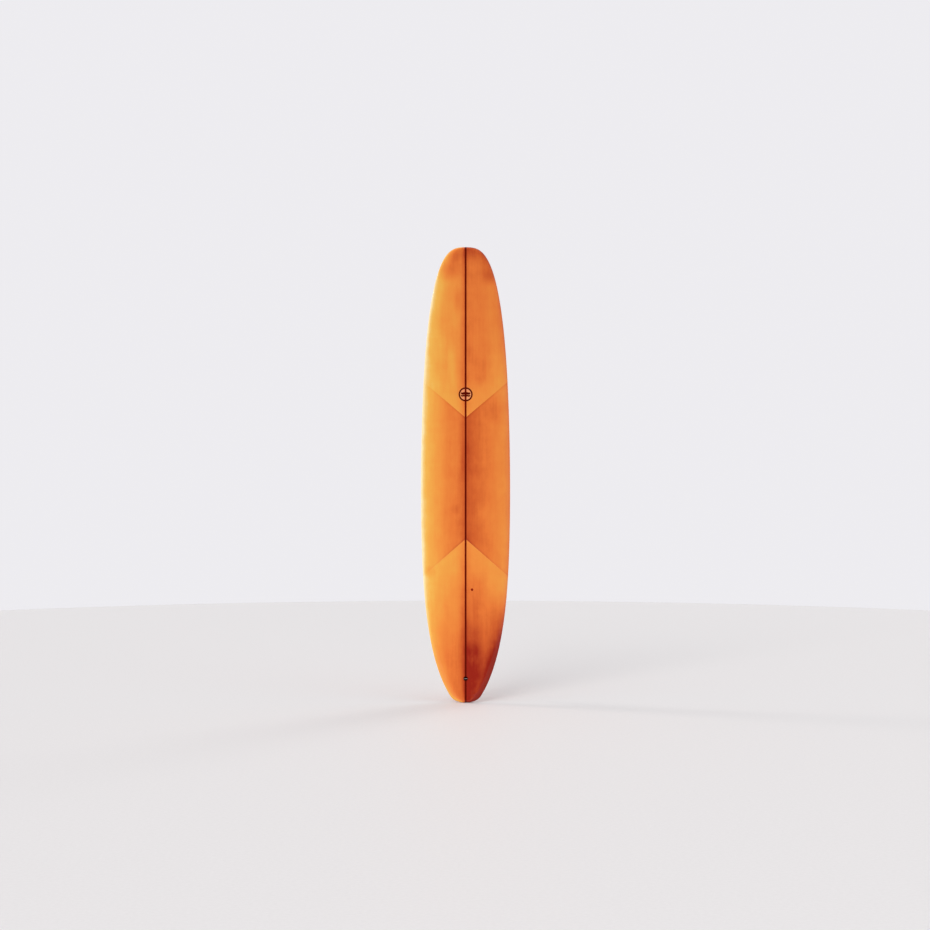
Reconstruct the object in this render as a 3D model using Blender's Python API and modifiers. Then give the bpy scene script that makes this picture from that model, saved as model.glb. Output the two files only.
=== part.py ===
"""Longboard surfboard with a removable centre fin, standing upright on its tail.

Metres: +Z from the tail tip to the nose tip, +X across the board, deck facing -Y, bottom and fin facing +Y.
The origin is the tail tip, on the stringer. Fittings are modelled in seats on the hull's surface, whose Z points
straight out of the board and whose Y points towards the nose.
"""

import math

import bmesh
import bpy
from mathutils import Matrix, Vector

GAP = 0.0003  # between pieces that touch
TURN_STEPS = 32  # round a turned piece

# The hull
LENGTH = 2.896
WIDTH = 0.5762  # of the outline's two curves, which together leave 0.5715 at the widest point
THICKNESS = 0.076
MIDDLE = LENGTH / 2
NOSE_ROCKER = 0.122  # how far each tip rises towards the deck
TAIL_ROCKER = 0.088
ROCKER_POWER = 2.4
TIP_THINNING = 0.60  # the share of the thickness that has gone at a tip
THINNING_POWER = 2.2
DECK_SHARE = 0.55  # of the thickness that lies on the deck's side of the rail line
DECK_POWERS = (2.4, 2.0)  # how square the section is, across and through
BOTTOM_POWERS = (3.2, 2.2)
END_ROUND = 0.014  # the tips close over this length

# The outline: a superellipse over the nose, another over the tail, and a squash tail's round corners
NOSE_RUN = 2.000
NOSE_POWERS = (3.046, 3.022)
TAIL_RUN = 2.246
TAIL_OVERRUN = 0.050  # the tail's curve would close this far below the tip that squares it off
TAIL_POWERS = (5.430, 1.500)
CORNER_RUN = 0.040
CORNER_POWER = 2.6

# How finely the hull is divided
SECTION_STEPS = 6  # in each quarter of a section
END_STEPS = 4
MIDDLE_STEPS = 28

# The stringer and the layers over the foam
STRINGER = 0.012
LAMINATE = 0.0015
PATCH = 0.0005
BADGE = 0.0003
LAP = 0.045  # the bottom cloth's lap onto the deck
CLEAR = 0.4  # reaches past the hull from its middle plane, bottom or deck

# The V-ended deck patch, by height
PATCH_TOP_RAIL = 2.060
PATCH_TOP_APEX = 1.8155
PATCH_LOW_APEX = 1.040
PATCH_LOW_RAIL = 0.787
PATCH_EDGE = 0.082  # the Y at which the patch ends on the rails

# The emblem, leash plug and vent on the deck
BADGE_HEIGHT = 1.964
BADGE_RADIUS = 0.0455
PROUD = 0.0004  # how far a fitting stands above the deck
LEASH_HEIGHT = 0.152
CUP_RADIUS = 0.0145
CUP_BORE = 0.0112
CUP_DEPTH = 0.018
CUP_FLOOR = 0.015
PIN_RADIUS = 0.0018
PIN_LENGTH = 0.0266
PIN_DEPTH = 0.0055
VENT_ACROSS = 0.041
VENT_HEIGHT = 0.716
VENT_RADIUS = 0.0085
VENT_DEPTH = 0.016
VENT_RECESS = 0.0062
VENT_RECESS_DEPTH = 0.0044
VENT_BORE = 0.0042
VENT_HEAD = 0.0058
RING_RADIUS = 0.00505
RING_SECTION = 0.00085

# The fin box
BOX_HEIGHT = 0.312
BOX_LENGTH = 0.268
BOX_WIDTH = 0.0254
BOX_DEPTH = 0.024
BOX_CORNER = 0.006
BOX_SINK = 0.0006  # shares out the difference between the flat box and the curved bottom
SLOT_LENGTH = 0.250
SLOT_WIDTH = 0.0096
SLOT_DEPTH = 0.0205
GROOVE_WIDTH = 0.0145
GROOVE_TOP = 0.006
GROOVE_FLOOR = 0.0125
ENTRY_LENGTH = 0.014

# The fin and what holds it in the box
FIN_OFFSET = -0.008  # from the box's middle to the fin's
FIN_DEPTH = 0.241
FIN_CHORD = 0.178
FIN_RAKE = 0.095
FIN_THICKNESS = 0.009
FIN_LIFT = 0.0004
TAB_LENGTH = 0.168
TAB_DEPTH = 0.0195
TONGUE_LENGTH = 0.016
TONGUE_TOP = 0.0025
TONGUE_FLOOR = 0.0057
ROLL_PIN_INSET = 0.009
ROLL_PIN_DEPTH = (GROOVE_TOP + GROOVE_FLOOR) / 2
ROLL_PIN_RADIUS = 0.0024
ROLL_PIN_BORE = 0.0014
ROLL_PIN_LENGTH = 0.0136
SCREW_RADIUS = 0.00208
SCREW_HOLE = 0.00245
SCREW_HEAD = 0.0042
SCREW_HEAD_HEIGHT = 0.002
SCREW_LENGTH = 0.0153
PLATE_LENGTH = 0.012
PLATE_THICKNESS = 0.003


# --- The hull's shape ---------------------------------------------------------------------------------------


def half_width(z):
    """Half the outline's width at a height above the tail tip."""
    nose = 1 - max(0.0, 1 - (LENGTH - z) / NOSE_RUN) ** NOSE_POWERS[0]
    tail = 1 - max(0.0, (TAIL_RUN - z) / (TAIL_RUN + TAIL_OVERRUN)) ** TAIL_POWERS[0]
    corner = 1 - max(0.0, 1 - z / CORNER_RUN) ** CORNER_POWER
    fullness = nose ** (1 / NOSE_POWERS[1]) * tail ** (1 / TAIL_POWERS[1]) * corner ** (1 / CORNER_POWER)
    return WIDTH / 2 * fullness


def rail_line(z):
    """The rails' Y: the rocker, furthest from the deck's side at mid length."""
    reach = (z - MIDDLE) / MIDDLE
    rise = TAIL_ROCKER if reach < 0 else NOSE_ROCKER
    return TAIL_ROCKER - rise * abs(reach) ** ROCKER_POWER


def thickness(z):
    """The hull's thickness, thinning from the middle and rounding over at the tips."""
    reach = abs(z - MIDDLE) / MIDDLE
    foil = THICKNESS * (1 - TIP_THINNING * reach**THINNING_POWER)
    to_tip = min(z, LENGTH - z, END_ROUND)
    return foil * math.sqrt(1 - (1 - to_tip / END_ROUND) ** 2)


def stations():
    """Heights of the hull's sections between its tips, closest together where it rounds over."""
    turns = [math.pi / 2 * k / END_STEPS for k in range(1, END_STEPS)]
    ends = [END_ROUND * (1 - math.cos(turn)) for turn in turns]
    run = LENGTH - 2 * END_ROUND
    turns = [math.pi * k / MIDDLE_STEPS for k in range(MIDDLE_STEPS + 1)]
    middle = [END_ROUND + run * (1 - math.cos(turn)) / 2 for turn in turns]
    return ends + middle + [LENGTH - end for end in reversed(ends)]


def section(z):
    """The loop of points round the hull at one height, from the deck's middle by way of the +X rail."""
    half, rail, thick = half_width(z), rail_line(z), thickness(z)
    points = []
    for k in range(4 * SECTION_STEPS):
        turn = math.tau * k / (4 * SECTION_STEPS)
        across, out = math.sin(turn), math.cos(turn)
        share, powers = (DECK_SHARE, DECK_POWERS) if out > 0 else (1 - DECK_SHARE, BOTTOM_POWERS)
        x = half * math.copysign(abs(across) ** (2 / powers[0]), across)
        y = rail - thick * share * math.copysign(abs(out) ** (2 / powers[1]), out)
        points.append((x, y, z))
    return points


def surface_point(x, z, side):
    """A point on the deck (side -1) or the bottom (side +1), at a place in the outline."""
    share, powers = (DECK_SHARE, DECK_POWERS) if side < 0 else (1 - DECK_SHARE, BOTTOM_POWERS)
    out = (1 - abs(x / half_width(z)) ** powers[0]) ** (1 / powers[1])
    return Vector((x, rail_line(z) + side * thickness(z) * share * out, z))


# --- Helpers ------------------------------------------------------------------------------------------------


def clear_scene():
    for obj in list(bpy.data.objects):
        bpy.data.objects.remove(obj)


def new_collection(name):
    collection = bpy.data.collections.new(name)
    bpy.context.scene.collection.children.link(collection)
    return collection


def new_material(name, colour, roughness, metallic=0.0):
    material = bpy.data.materials.new(name)
    material.use_nodes = True
    shader = material.node_tree.nodes["Principled BSDF"]
    shader.inputs["Base Color"].default_value = (*colour, 1.0)
    shader.inputs["Roughness"].default_value = roughness
    shader.inputs["Metallic"].default_value = metallic
    return material


def place(name, mesh, parent=None, location=(0, 0, 0)):
    """A sub-part at its place, with the material of the same name."""
    obj = bpy.data.objects.new(name, mesh)
    PARTS.objects.link(obj)
    if not mesh.materials:
        mesh.materials.append(None)
    obj.material_slots[0].link = "OBJECT"
    obj.material_slots[0].material = new_material(name, *FINISHES[name])
    obj.parent = parent
    obj.location = location
    return obj


def place_cutter(name, mesh, parent=None, location=(0, 0, 0)):
    obj = bpy.data.objects.new(name, mesh)
    CUTTERS.objects.link(obj)
    obj.parent = parent
    obj.location = location
    obj.hide_render = True
    obj.display_type = "WIRE"
    return obj


def modify(obj, kind, **settings):
    modifier = obj.modifiers.new(kind.title(), kind)
    for name, value in settings.items():
        setattr(modifier, name, value)


def combine(obj, operation, *others):
    for other in others:
        modify(obj, "BOOLEAN", object=other, operation=operation, solver="EXACT")


def finish_mesh(bm, name):
    bmesh.ops.recalc_face_normals(bm, faces=bm.faces)
    mesh = bpy.data.meshes.new(name)
    bm.to_mesh(mesh)
    bm.free()
    mesh.shade_smooth()
    mesh.set_sharp_from_angle(angle=math.radians(35))
    return mesh


def loft_mesh(name, rings, first_tip=None, last_tip=None):
    """Joins like-numbered points of successive rings; each end closes on its tip, or flat without one."""
    bm = bmesh.new()
    loops = [[bm.verts.new(point) for point in ring] for ring in rings]
    count = len(rings[0])
    for low, high in zip(loops, loops[1:]):
        for k in range(count):
            bm.faces.new((low[k], low[(k + 1) % count], high[(k + 1) % count], high[k]))
    for loop, tip in ((loops[0], first_tip), (loops[-1], last_tip)):
        if tip is None:
            bm.faces.new(loop)
            continue
        point = bm.verts.new(tip)
        for k in range(count):
            bm.faces.new((loop[k], loop[(k + 1) % count], point))
    return finish_mesh(bm, name)


def box_mesh(name, low, high, corner=0.0):
    """A box between two corners; with a corner radius, its edges along Z are rounded."""
    size, centre = Vector(high) - Vector(low), (Vector(high) + Vector(low)) / 2
    bm = bmesh.new()
    bmesh.ops.create_cube(bm, size=1, matrix=Matrix.Translation(centre) @ Matrix.Diagonal((*size, 1)))
    if corner:
        upright = [e for e in bm.edges if abs(e.verts[0].co.z - e.verts[1].co.z) > size.z / 2]
        bmesh.ops.bevel(bm, geom=upright, offset=corner, segments=4, profile=0.5, affect="EDGES")
    return finish_mesh(bm, name)


def prism_mesh(name, outline, along):
    """A flat outline of 3-D points carried along a vector."""
    bm = bmesh.new()
    face = bm.faces.new([bm.verts.new(point) for point in outline])
    grown = bmesh.ops.extrude_face_region(bm, geom=[face])["geom"]
    bmesh.ops.translate(bm, vec=along, verts=[v for v in grown if isinstance(v, bmesh.types.BMVert)])
    return finish_mesh(bm, name)


def rod_mesh(name, radius, low, high, across=False):
    """A plain cylinder along Z, or along X if it lies across."""
    turn = Matrix.Rotation(math.pi / 2, 4, "Y") if across else Matrix()
    matrix = turn @ Matrix.Translation((0, 0, (low + high) / 2))
    bm = bmesh.new()
    bmesh.ops.create_cone(
        bm, cap_ends=True, segments=TURN_STEPS, radius1=radius, radius2=radius, depth=high - low, matrix=matrix
    )
    return finish_mesh(bm, name)


def turned(name, profile, parent, location=(0, 0, 0), closed=False):
    """A sub-part turned about its own Z from (radius, height) points that run down its outer side."""
    count = len(profile)
    edges = [(k, (k + 1) % count) for k in range(count if closed else count - 1)]
    mesh = bpy.data.meshes.new(name)
    mesh.from_pydata([(radius, 0, height) for radius, height in profile], edges, [])
    obj = place(name, mesh, parent, location)
    modify(
        obj,
        "SCREW",
        steps=TURN_STEPS,
        render_steps=TURN_STEPS,
        use_merge_vertices=True,
        merge_threshold=0.00001,
    )
    return obj


def seat(name, x, z, side, lift):
    """An empty on the hull's surface: Z straight out of the board, Y towards the nose."""
    step = 0.01
    toward_nose = surface_point(x, z + step, side) - surface_point(x, z - step, side)
    across = surface_point(x + step, z, side) - surface_point(x - step, z, side)
    out = side * toward_nose.cross(across).normalized()
    forward = (toward_nose - out * toward_nose.dot(out)).normalized()
    obj = bpy.data.objects.new(name, None)
    obj.empty_display_size = 0.05
    PARTS.objects.link(obj)
    turn = Matrix((forward.cross(out), forward, out)).transposed().to_4x4()
    obj.matrix_world = Matrix.Translation(surface_point(x, z, side) + out * lift) @ turn
    return obj


# --- The board ----------------------------------------------------------------------------------------------


def layer(name, inner, outer):
    """A skin over the whole hull between two distances out from its surface."""
    obj = place(name, HULL)
    modify(obj, "DISPLACE", strength=outer, mid_level=0.0, direction="NORMAL")
    modify(obj, "SOLIDIFY", thickness=outer - inner, offset=-1.0)
    return obj


def core(name, low_x, high_x):
    """The stretch of the board's core between two planes along it."""
    obj = place(name, HULL)
    modify(obj, "DISPLACE", strength=-LAMINATE - GAP, mid_level=0.0, direction="NORMAL")
    slab = box_mesh(name + "_slab", (low_x, -CLEAR, -CLEAR), (high_x, CLEAR, LENGTH + CLEAR))
    combine(obj, "INTERSECT", place_cutter(name + "_slab", slab))
    return obj


def lap_cutter(name, inset):
    """What lies over the deck inside the lap line, down to the level of the rails."""
    rings = []
    for z in stations():
        x = half_width(z) * (1 - 2 * inset / WIDTH)
        height = inset + z * (1 - 2 * inset / LENGTH)
        rail = rail_line(height)
        rings.append([(-x, -CLEAR, height), (x, -CLEAR, height), (x, rail, height), (-x, rail, height)])
    return place_cutter(name, loft_mesh(name, rings))


def patch_cutter():
    """The deck patch's outline, carried through to the level of the rails."""
    past_rail = CLEAR / (WIDTH / 2)
    low = PATCH_LOW_APEX + (PATCH_LOW_RAIL - PATCH_LOW_APEX) * past_rail
    top = PATCH_TOP_APEX + (PATCH_TOP_RAIL - PATCH_TOP_APEX) * past_rail
    outline = [(-CLEAR, low), (0, PATCH_LOW_APEX), (CLEAR, low), (CLEAR, top), (0, PATCH_TOP_APEX), (-CLEAR, top)]
    points = [(x, -CLEAR, z) for x, z in outline]
    return place_cutter("patch_outline", prism_mesh("patch_outline", points, (0, CLEAR + PATCH_EDGE, 0)))


def build_core(pockets):
    """Two foam halves glued to a hardwood stringer, with a pocket for each fitting."""
    edge = STRINGER / 2
    combine(core("foam_left", -CLEAR, -edge - GAP), "DIFFERENCE", pockets["fin_box"], pockets["leash"])
    right = core("foam_right", edge + GAP, CLEAR)
    combine(right, "DIFFERENCE", pockets["fin_box"], pockets["leash"], pockets["vent"])
    combine(core("stringer", -edge, edge), "DIFFERENCE", pockets["fin_box"], pockets["leash"])


def build_skins(pockets):
    """The bottom cloth laps round the rails, and the deck cloth fills the rest; the patch lies over both."""
    deck = layer("deck_laminate", -LAMINATE, 0.0)
    combine(deck, "INTERSECT", lap_cutter("inside_lap", LAP + GAP))
    combine(deck, "DIFFERENCE", pockets["leash"], pockets["vent"])
    bottom = layer("bottom_laminate", -LAMINATE, 0.0)
    combine(bottom, "DIFFERENCE", lap_cutter("lap", LAP), pockets["fin_box"])
    patch = layer("deck_patch", GAP, GAP + PATCH)
    combine(patch, "INTERSECT", patch_cutter())
    badge = layer("deck_badge", GAP, GAP + BADGE)
    disc = rod_mesh("badge_outline", BADGE_RADIUS, 0, CLEAR)
    cutter = place_cutter("badge_outline", disc, location=(0, TAIL_ROCKER, BADGE_HEIGHT))
    cutter.rotation_euler = (math.pi / 2, 0, 0)
    combine(badge, "INTERSECT", cutter)


# --- The fittings on the deck -------------------------------------------------------------------------------


def build_leash_plug(plug_seat):
    """A cup with a bar across it, to which a leash's string ties."""
    lip = 0.0008
    profile = [
        (0, -CUP_FLOOR),
        (CUP_BORE * 0.62, -CUP_FLOOR * 0.97),
        (CUP_BORE * 0.88, -CUP_FLOOR * 0.84),
        (CUP_BORE, -CUP_FLOOR * 0.62),
        (CUP_BORE, -lip),
        (CUP_BORE + lip, 0),
        (CUP_RADIUS - lip, 0),
        (CUP_RADIUS, -lip),
        (CUP_RADIUS, -CUP_DEPTH),
        (0, -CUP_DEPTH),
    ]
    cup = turned("leash_cup", profile, plug_seat)
    half = PIN_LENGTH / 2
    bore = rod_mesh("leash_pin_bore", PIN_RADIUS + GAP, -half - GAP, half + GAP, across=True)
    combine(cup, "DIFFERENCE", place_cutter("leash_pin_bore", bore, plug_seat, (0, 0, -PIN_DEPTH)))
    pin = rod_mesh("leash_pin", PIN_RADIUS, -half, half, across=True)
    place("leash_pin", pin, plug_seat, (0, 0, -PIN_DEPTH))


def build_vent(vent_seat):
    """A threaded insert with a coin-slotted screw, sealed by a rubber ring under the screw's head."""
    edge = 0.0006
    leak = 0.0015
    housing = [
        (VENT_RECESS, 0),
        (VENT_RADIUS - edge, 0),
        (VENT_RADIUS, -edge),
        (VENT_RADIUS, -VENT_DEPTH),
        (leak, -VENT_DEPTH),
        (leak, -VENT_DEPTH + leak),
        (VENT_BORE, -VENT_DEPTH + leak),
        (VENT_BORE, -VENT_RECESS_DEPTH),
        (VENT_RECESS, -VENT_RECESS_DEPTH),
    ]
    turned("vent_housing", housing, vent_seat, closed=True)
    ring_height = -VENT_RECESS_DEPTH + GAP + RING_SECTION
    turns = [math.pi / 2 - math.tau * k / 10 for k in range(10)]
    ring = [(RING_RADIUS + RING_SECTION * math.cos(t), RING_SECTION * math.sin(t)) for t in turns]
    turned("vent_o_ring", ring, vent_seat, (0, 0, ring_height), closed=True)
    under_head = ring_height + RING_SECTION + GAP
    head = -GAP - under_head
    shank = VENT_BORE - GAP
    screw = [
        (0, head),
        (VENT_HEAD - edge, head),
        (VENT_HEAD, head - edge),
        (VENT_HEAD, 0),
        (shank, 0),
        (shank, -0.0103),
        (shank - edge, -0.0109),
        (0, -0.0109),
    ]
    screw = turned("vent_screw", screw, vent_seat, (0, 0, under_head))
    slot = box_mesh("coin_slot", (-VENT_HEAD, -0.0008, head - 0.001), (VENT_HEAD, 0.0008, head + 0.002))
    combine(screw, "DIFFERENCE", place_cutter("coin_slot", slot, vent_seat, (0, 0, under_head)))


# --- The fin ------------------------------------------------------------------------------------------------


def box_between(name, half_x, low_y, high_y, low_z, high_z, corner=0.0):
    """A box centred across its seat."""
    return box_mesh(name, (-half_x, low_y, low_z), (half_x, high_y, high_z), corner)


def build_fin_box(box_seat):
    """A channel with a T groove, open on the board's bottom, and a wider entry at the slot's tail end."""
    end, slot_end = BOX_LENGTH / 2, SLOT_LENGTH / 2
    body = box_between("fin_box", BOX_WIDTH / 2, -end, end, -BOX_DEPTH, 0, BOX_CORNER)
    box = place("fin_box", body, box_seat)
    above = 0.01
    slot = box_between("fin_slot", SLOT_WIDTH / 2, -slot_end, slot_end, -SLOT_DEPTH, above)
    groove = box_between("fin_groove", GROOVE_WIDTH / 2, -slot_end, slot_end, -GROOVE_FLOOR, -GROOVE_TOP)
    entry_end = ENTRY_LENGTH - slot_end
    entry = box_between("fin_entry", GROOVE_WIDTH / 2, -slot_end, entry_end, -GROOVE_FLOOR, above)
    for mesh in (slot, groove, entry):
        combine(box, "DIFFERENCE", place_cutter(mesh.name, mesh, box_seat))


def blade_ring(share):
    """The fin's section at a share of its depth, from its leading edge round to the trailing edge and back."""
    chord = FIN_CHORD * (1 - 0.62 * share**1.1) * math.sqrt(1 - share**9)
    middle = -FIN_RAKE * share**1.7
    thick = FIN_THICKNESS * (1 - 0.6 * share)
    points = []
    for k in range(16):
        turn = math.tau * k / 16
        fore, side = math.cos(turn), math.sin(turn)
        foil = math.copysign(abs(side) ** 0.8, side) * (1 + 0.2 * fore)
        points.append((thick / 2 * foil, middle + chord / 2 * fore, FIN_LIFT + share * FIN_DEPTH))
    return points


def build_fin(fin_seat):
    """A raked blade on a tab that slides in the box, with a roll pin behind and a screw in front."""
    rings = [blade_ring(math.sin(math.pi / 2 * k / 12)) for k in range(12)]
    tip = (0, -FIN_RAKE, FIN_LIFT + FIN_DEPTH)
    fin = place("fin", loft_mesh("fin", rings, last_tip=tip), fin_seat)
    end, half = TAB_LENGTH / 2, SLOT_WIDTH / 2 - GAP
    root = FIN_LIFT + 0.0008
    outline = [
        (-end, root),
        (-end, -TAB_DEPTH / 2),
        (-end + 0.006, -TAB_DEPTH),
        (end, -TAB_DEPTH),
        (end, -TONGUE_FLOOR),
        (end + TONGUE_LENGTH, -TONGUE_FLOOR),
        (end + TONGUE_LENGTH, -TONGUE_TOP),
        (end, -TONGUE_TOP),
        (end, root),
    ]
    tab = prism_mesh("fin_tab", [(-half, y, z) for y, z in outline], (2 * half, 0, 0))
    combine(fin, "UNION", place_cutter("fin_tab", tab, fin_seat))
    pin_place = (0, ROLL_PIN_INSET - end, -ROLL_PIN_DEPTH)
    bore = rod_mesh("roll_pin_bore", ROLL_PIN_RADIUS + GAP, -0.02, 0.02, across=True)
    screw_y = end + TONGUE_LENGTH / 2
    hole = rod_mesh("screw_hole", SCREW_HOLE, -0.01, 0.01)
    combine(fin, "DIFFERENCE", place_cutter("roll_pin_bore", bore, fin_seat, pin_place))
    combine(fin, "DIFFERENCE", place_cutter("screw_hole", hole, fin_seat, (0, screw_y, 0)))
    build_roll_pin(fin_seat, pin_place)
    build_fin_screw(fin_seat, screw_y)


def build_roll_pin(fin_seat, location):
    """A short tube through the tab, whose ends run in the box's groove."""
    half = ROLL_PIN_LENGTH / 2
    profile = [
        (ROLL_PIN_BORE, half),
        (ROLL_PIN_RADIUS - GAP, half),
        (ROLL_PIN_RADIUS, half - GAP),
        (ROLL_PIN_RADIUS, GAP - half),
        (ROLL_PIN_RADIUS - GAP, -half),
        (ROLL_PIN_BORE, -half),
    ]
    pin = turned("fin_roll_pin", profile, fin_seat, location, closed=True)
    pin.rotation_euler = (0, math.pi / 2, 0)


def build_fin_screw(fin_seat, screw_y):
    """The screw draws a plate in the groove up against the box's lips, and clamps the tab's tongue."""
    under_head = -TONGUE_TOP + GAP
    edge = 0.0004
    profile = [
        (0, SCREW_HEAD_HEIGHT),
        (SCREW_HEAD - 2 * edge, SCREW_HEAD_HEIGHT),
        (SCREW_HEAD, SCREW_HEAD_HEIGHT - 2 * edge),
        (SCREW_HEAD, 0),
        (SCREW_RADIUS, 0),
        (SCREW_RADIUS, edge - SCREW_LENGTH),
        (SCREW_RADIUS - edge, -SCREW_LENGTH),
        (0, -SCREW_LENGTH),
    ]
    screw = turned("fin_screw", profile, fin_seat, (0, screw_y, under_head))
    slot = box_between("driver_slot", SCREW_HEAD, -0.0006, 0.0006, SCREW_HEAD_HEIGHT - 0.001, 0.01)
    combine(screw, "DIFFERENCE", place_cutter("driver_slot", slot, fin_seat, (0, screw_y, under_head)))
    half, top = PLATE_LENGTH / 2, -GROOVE_TOP - GAP
    plate_mesh = box_between("fin_plate", GROOVE_WIDTH / 2 - GAP, -half, half, -PLATE_THICKNESS, 0, 0.001)
    plate = place("fin_plate", plate_mesh, fin_seat, (0, screw_y, top))
    thread = rod_mesh("plate_thread", SCREW_HOLE, -0.01, 0.01)
    combine(plate, "DIFFERENCE", place_cutter("plate_thread", thread, fin_seat, (0, screw_y, top)))


def main():
    plug_seat = seat("leash_plug_seat", 0, LEASH_HEIGHT, -1, PROUD)
    vent_seat = seat("vent_seat", VENT_ACROSS, VENT_HEIGHT, -1, PROUD)
    box_seat = seat("fin_box_seat", 0, BOX_HEIGHT, 1, -BOX_SINK)
    fin_seat = bpy.data.objects.new("fin_seat", None)
    PARTS.objects.link(fin_seat)
    fin_seat.parent = box_seat
    fin_seat.location = (0, FIN_OFFSET, 0)
    above, end = 0.02, BOX_LENGTH / 2 + GAP
    box_hole = box_between(
        "fin_box_pocket", BOX_WIDTH / 2 + GAP, -end, end, -BOX_DEPTH - GAP, above, BOX_CORNER + GAP
    )
    cup_hole = rod_mesh("leash_pocket", CUP_RADIUS + GAP, -CUP_DEPTH - GAP, above)
    vent_hole = rod_mesh("vent_pocket", VENT_RADIUS + GAP, -VENT_DEPTH - GAP, above)
    pockets = {
        "fin_box": place_cutter("fin_box_pocket", box_hole, box_seat),
        "leash": place_cutter("leash_pocket", cup_hole, plug_seat),
        "vent": place_cutter("vent_pocket", vent_hole, vent_seat),
    }
    build_core(pockets)
    build_skins(pockets)
    build_leash_plug(plug_seat)
    build_vent(vent_seat)
    build_fin_box(box_seat)
    build_fin(fin_seat)


# Colour, roughness and metallic value of each sub-part
FINISHES = {
    "foam_left": ((0.86, 0.80, 0.66), 0.90),
    "foam_right": ((0.86, 0.80, 0.66), 0.90),
    "stringer": ((0.11, 0.02, 0.008), 0.60),
    "deck_laminate": ((0.84, 0.36, 0.07), 0.15),
    "bottom_laminate": ((0.80, 0.32, 0.06), 0.15),
    "deck_patch": ((0.66, 0.19, 0.035), 0.15),
    "deck_badge": ((0.20, 0.03, 0.012), 0.30),
    "leash_cup": ((0.05, 0.012, 0.008), 0.30),
    "leash_pin": ((0.62, 0.60, 0.57), 0.25, 1.0),
    "vent_housing": ((0.16, 0.04, 0.015), 0.40),
    "vent_o_ring": ((0.02, 0.02, 0.02), 0.80),
    "vent_screw": ((0.30, 0.09, 0.03), 0.35),
    "fin_box": ((0.03, 0.03, 0.03), 0.45),
    "fin": ((0.55, 0.17, 0.04), 0.20),
    "fin_roll_pin": ((0.60, 0.60, 0.60), 0.30, 1.0),
    "fin_screw": ((0.62, 0.62, 0.62), 0.25, 1.0),
    "fin_plate": ((0.60, 0.60, 0.60), 0.30, 1.0),
}

clear_scene()
PARTS = new_collection("longboard")
CUTTERS = new_collection("longboard_cutters")
HULL = loft_mesh("hull", [section(z) for z in stations()], (0, 0, 0), (0, rail_line(LENGTH), LENGTH))
main()
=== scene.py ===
# The longboard's looks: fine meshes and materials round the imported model, with floor, light and camera.
import math
import random

import bmesh
import bpy
import numpy as np
from mathutils import Matrix, Vector


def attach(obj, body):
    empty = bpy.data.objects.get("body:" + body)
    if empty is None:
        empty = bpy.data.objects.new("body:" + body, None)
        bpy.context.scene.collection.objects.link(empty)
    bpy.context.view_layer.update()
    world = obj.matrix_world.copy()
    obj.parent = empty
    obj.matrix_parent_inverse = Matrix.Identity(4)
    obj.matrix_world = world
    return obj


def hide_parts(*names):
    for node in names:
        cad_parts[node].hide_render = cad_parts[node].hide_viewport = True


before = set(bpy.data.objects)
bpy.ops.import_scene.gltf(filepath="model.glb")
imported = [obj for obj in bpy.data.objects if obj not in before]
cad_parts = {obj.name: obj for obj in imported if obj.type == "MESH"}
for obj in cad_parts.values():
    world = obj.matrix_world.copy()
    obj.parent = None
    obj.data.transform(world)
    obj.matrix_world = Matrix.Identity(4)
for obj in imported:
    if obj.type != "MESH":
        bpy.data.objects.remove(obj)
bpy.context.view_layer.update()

# --- The board's dimensions, as in the CAD model ---

LENGTH = 2.896
WIDTH = 0.5762  # of the outline's two curves
THICKNESS = 0.076
MIDDLE = LENGTH / 2
NOSE_ROCKER = 0.122
TAIL_ROCKER = 0.088
ROCKER_POWER = 2.4
TIP_THINNING = 0.60
THINNING_POWER = 2.2
DECK_SHARE = 0.55
DECK_POWERS = (2.4, 2.0)
BOTTOM_POWERS = (3.2, 2.2)
END_ROUND = 0.014
NOSE_RUN = 2.000
NOSE_POWERS = (3.046, 3.022)
TAIL_RUN = 2.246
TAIL_OVERRUN = 0.050
TAIL_POWERS = (5.43, 1.5)
CORNER_RUN = 0.040
CORNER_POWER = 2.6
STRINGER = 0.012
LAMINATE = 0.0015
LAP = 0.045
PATCH_TOP_RAIL = 2.060
PATCH_TOP_APEX = 1.8155
PATCH_LOW_APEX = 1.040
PATCH_LOW_RAIL = 0.787
BADGE_HEIGHT = 1.964
BADGE_RADIUS = 0.0455
PROUD = 0.0004
LEASH_HEIGHT = 0.152
CUP_RADIUS = 0.0145
CUP_BORE = 0.0112
CUP_DEPTH = 0.018
CUP_FLOOR = 0.015
PIN_RADIUS = 0.0018
PIN_LENGTH = 0.0266
PIN_DEPTH = 0.0055
VENT_ACROSS = 0.041
VENT_HEIGHT = 0.716
VENT_RADIUS = 0.0085
VENT_DEPTH = 0.016
VENT_RECESS = 0.0062
VENT_RECESS_DEPTH = 0.0044
VENT_BORE = 0.0042
VENT_HEAD = 0.0058
RING_RADIUS = 0.00505
RING_SECTION = 0.00085
BOX_HEIGHT = 0.312
BOX_LENGTH = 0.268
BOX_WIDTH = 0.0254
BOX_DEPTH = 0.024
BOX_CORNER = 0.006
BOX_SINK = 0.0006
SLOT_LENGTH = 0.250
SLOT_WIDTH = 0.0096
SLOT_DEPTH = 0.0205
GROOVE_WIDTH = 0.0145
GROOVE_TOP = 0.006
GROOVE_FLOOR = 0.0125
ENTRY_LENGTH = 0.014
FIN_OFFSET = -0.008
FIN_DEPTH = 0.241
FIN_CHORD = 0.178
FIN_RAKE = 0.095
FIN_THICKNESS = 0.009
FIN_LIFT = 0.0004
TAB_LENGTH = 0.168
TAB_DEPTH = 0.0195
TONGUE_LENGTH = 0.016
TONGUE_TOP = 0.0025
TONGUE_FLOOR = 0.0057
ROLL_PIN_INSET = 0.009
ROLL_PIN_RADIUS = 0.0024
ROLL_PIN_BORE = 0.0014
ROLL_PIN_LENGTH = 0.0136
SCREW_RADIUS = 0.00208
SCREW_HOLE = 0.00245
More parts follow.
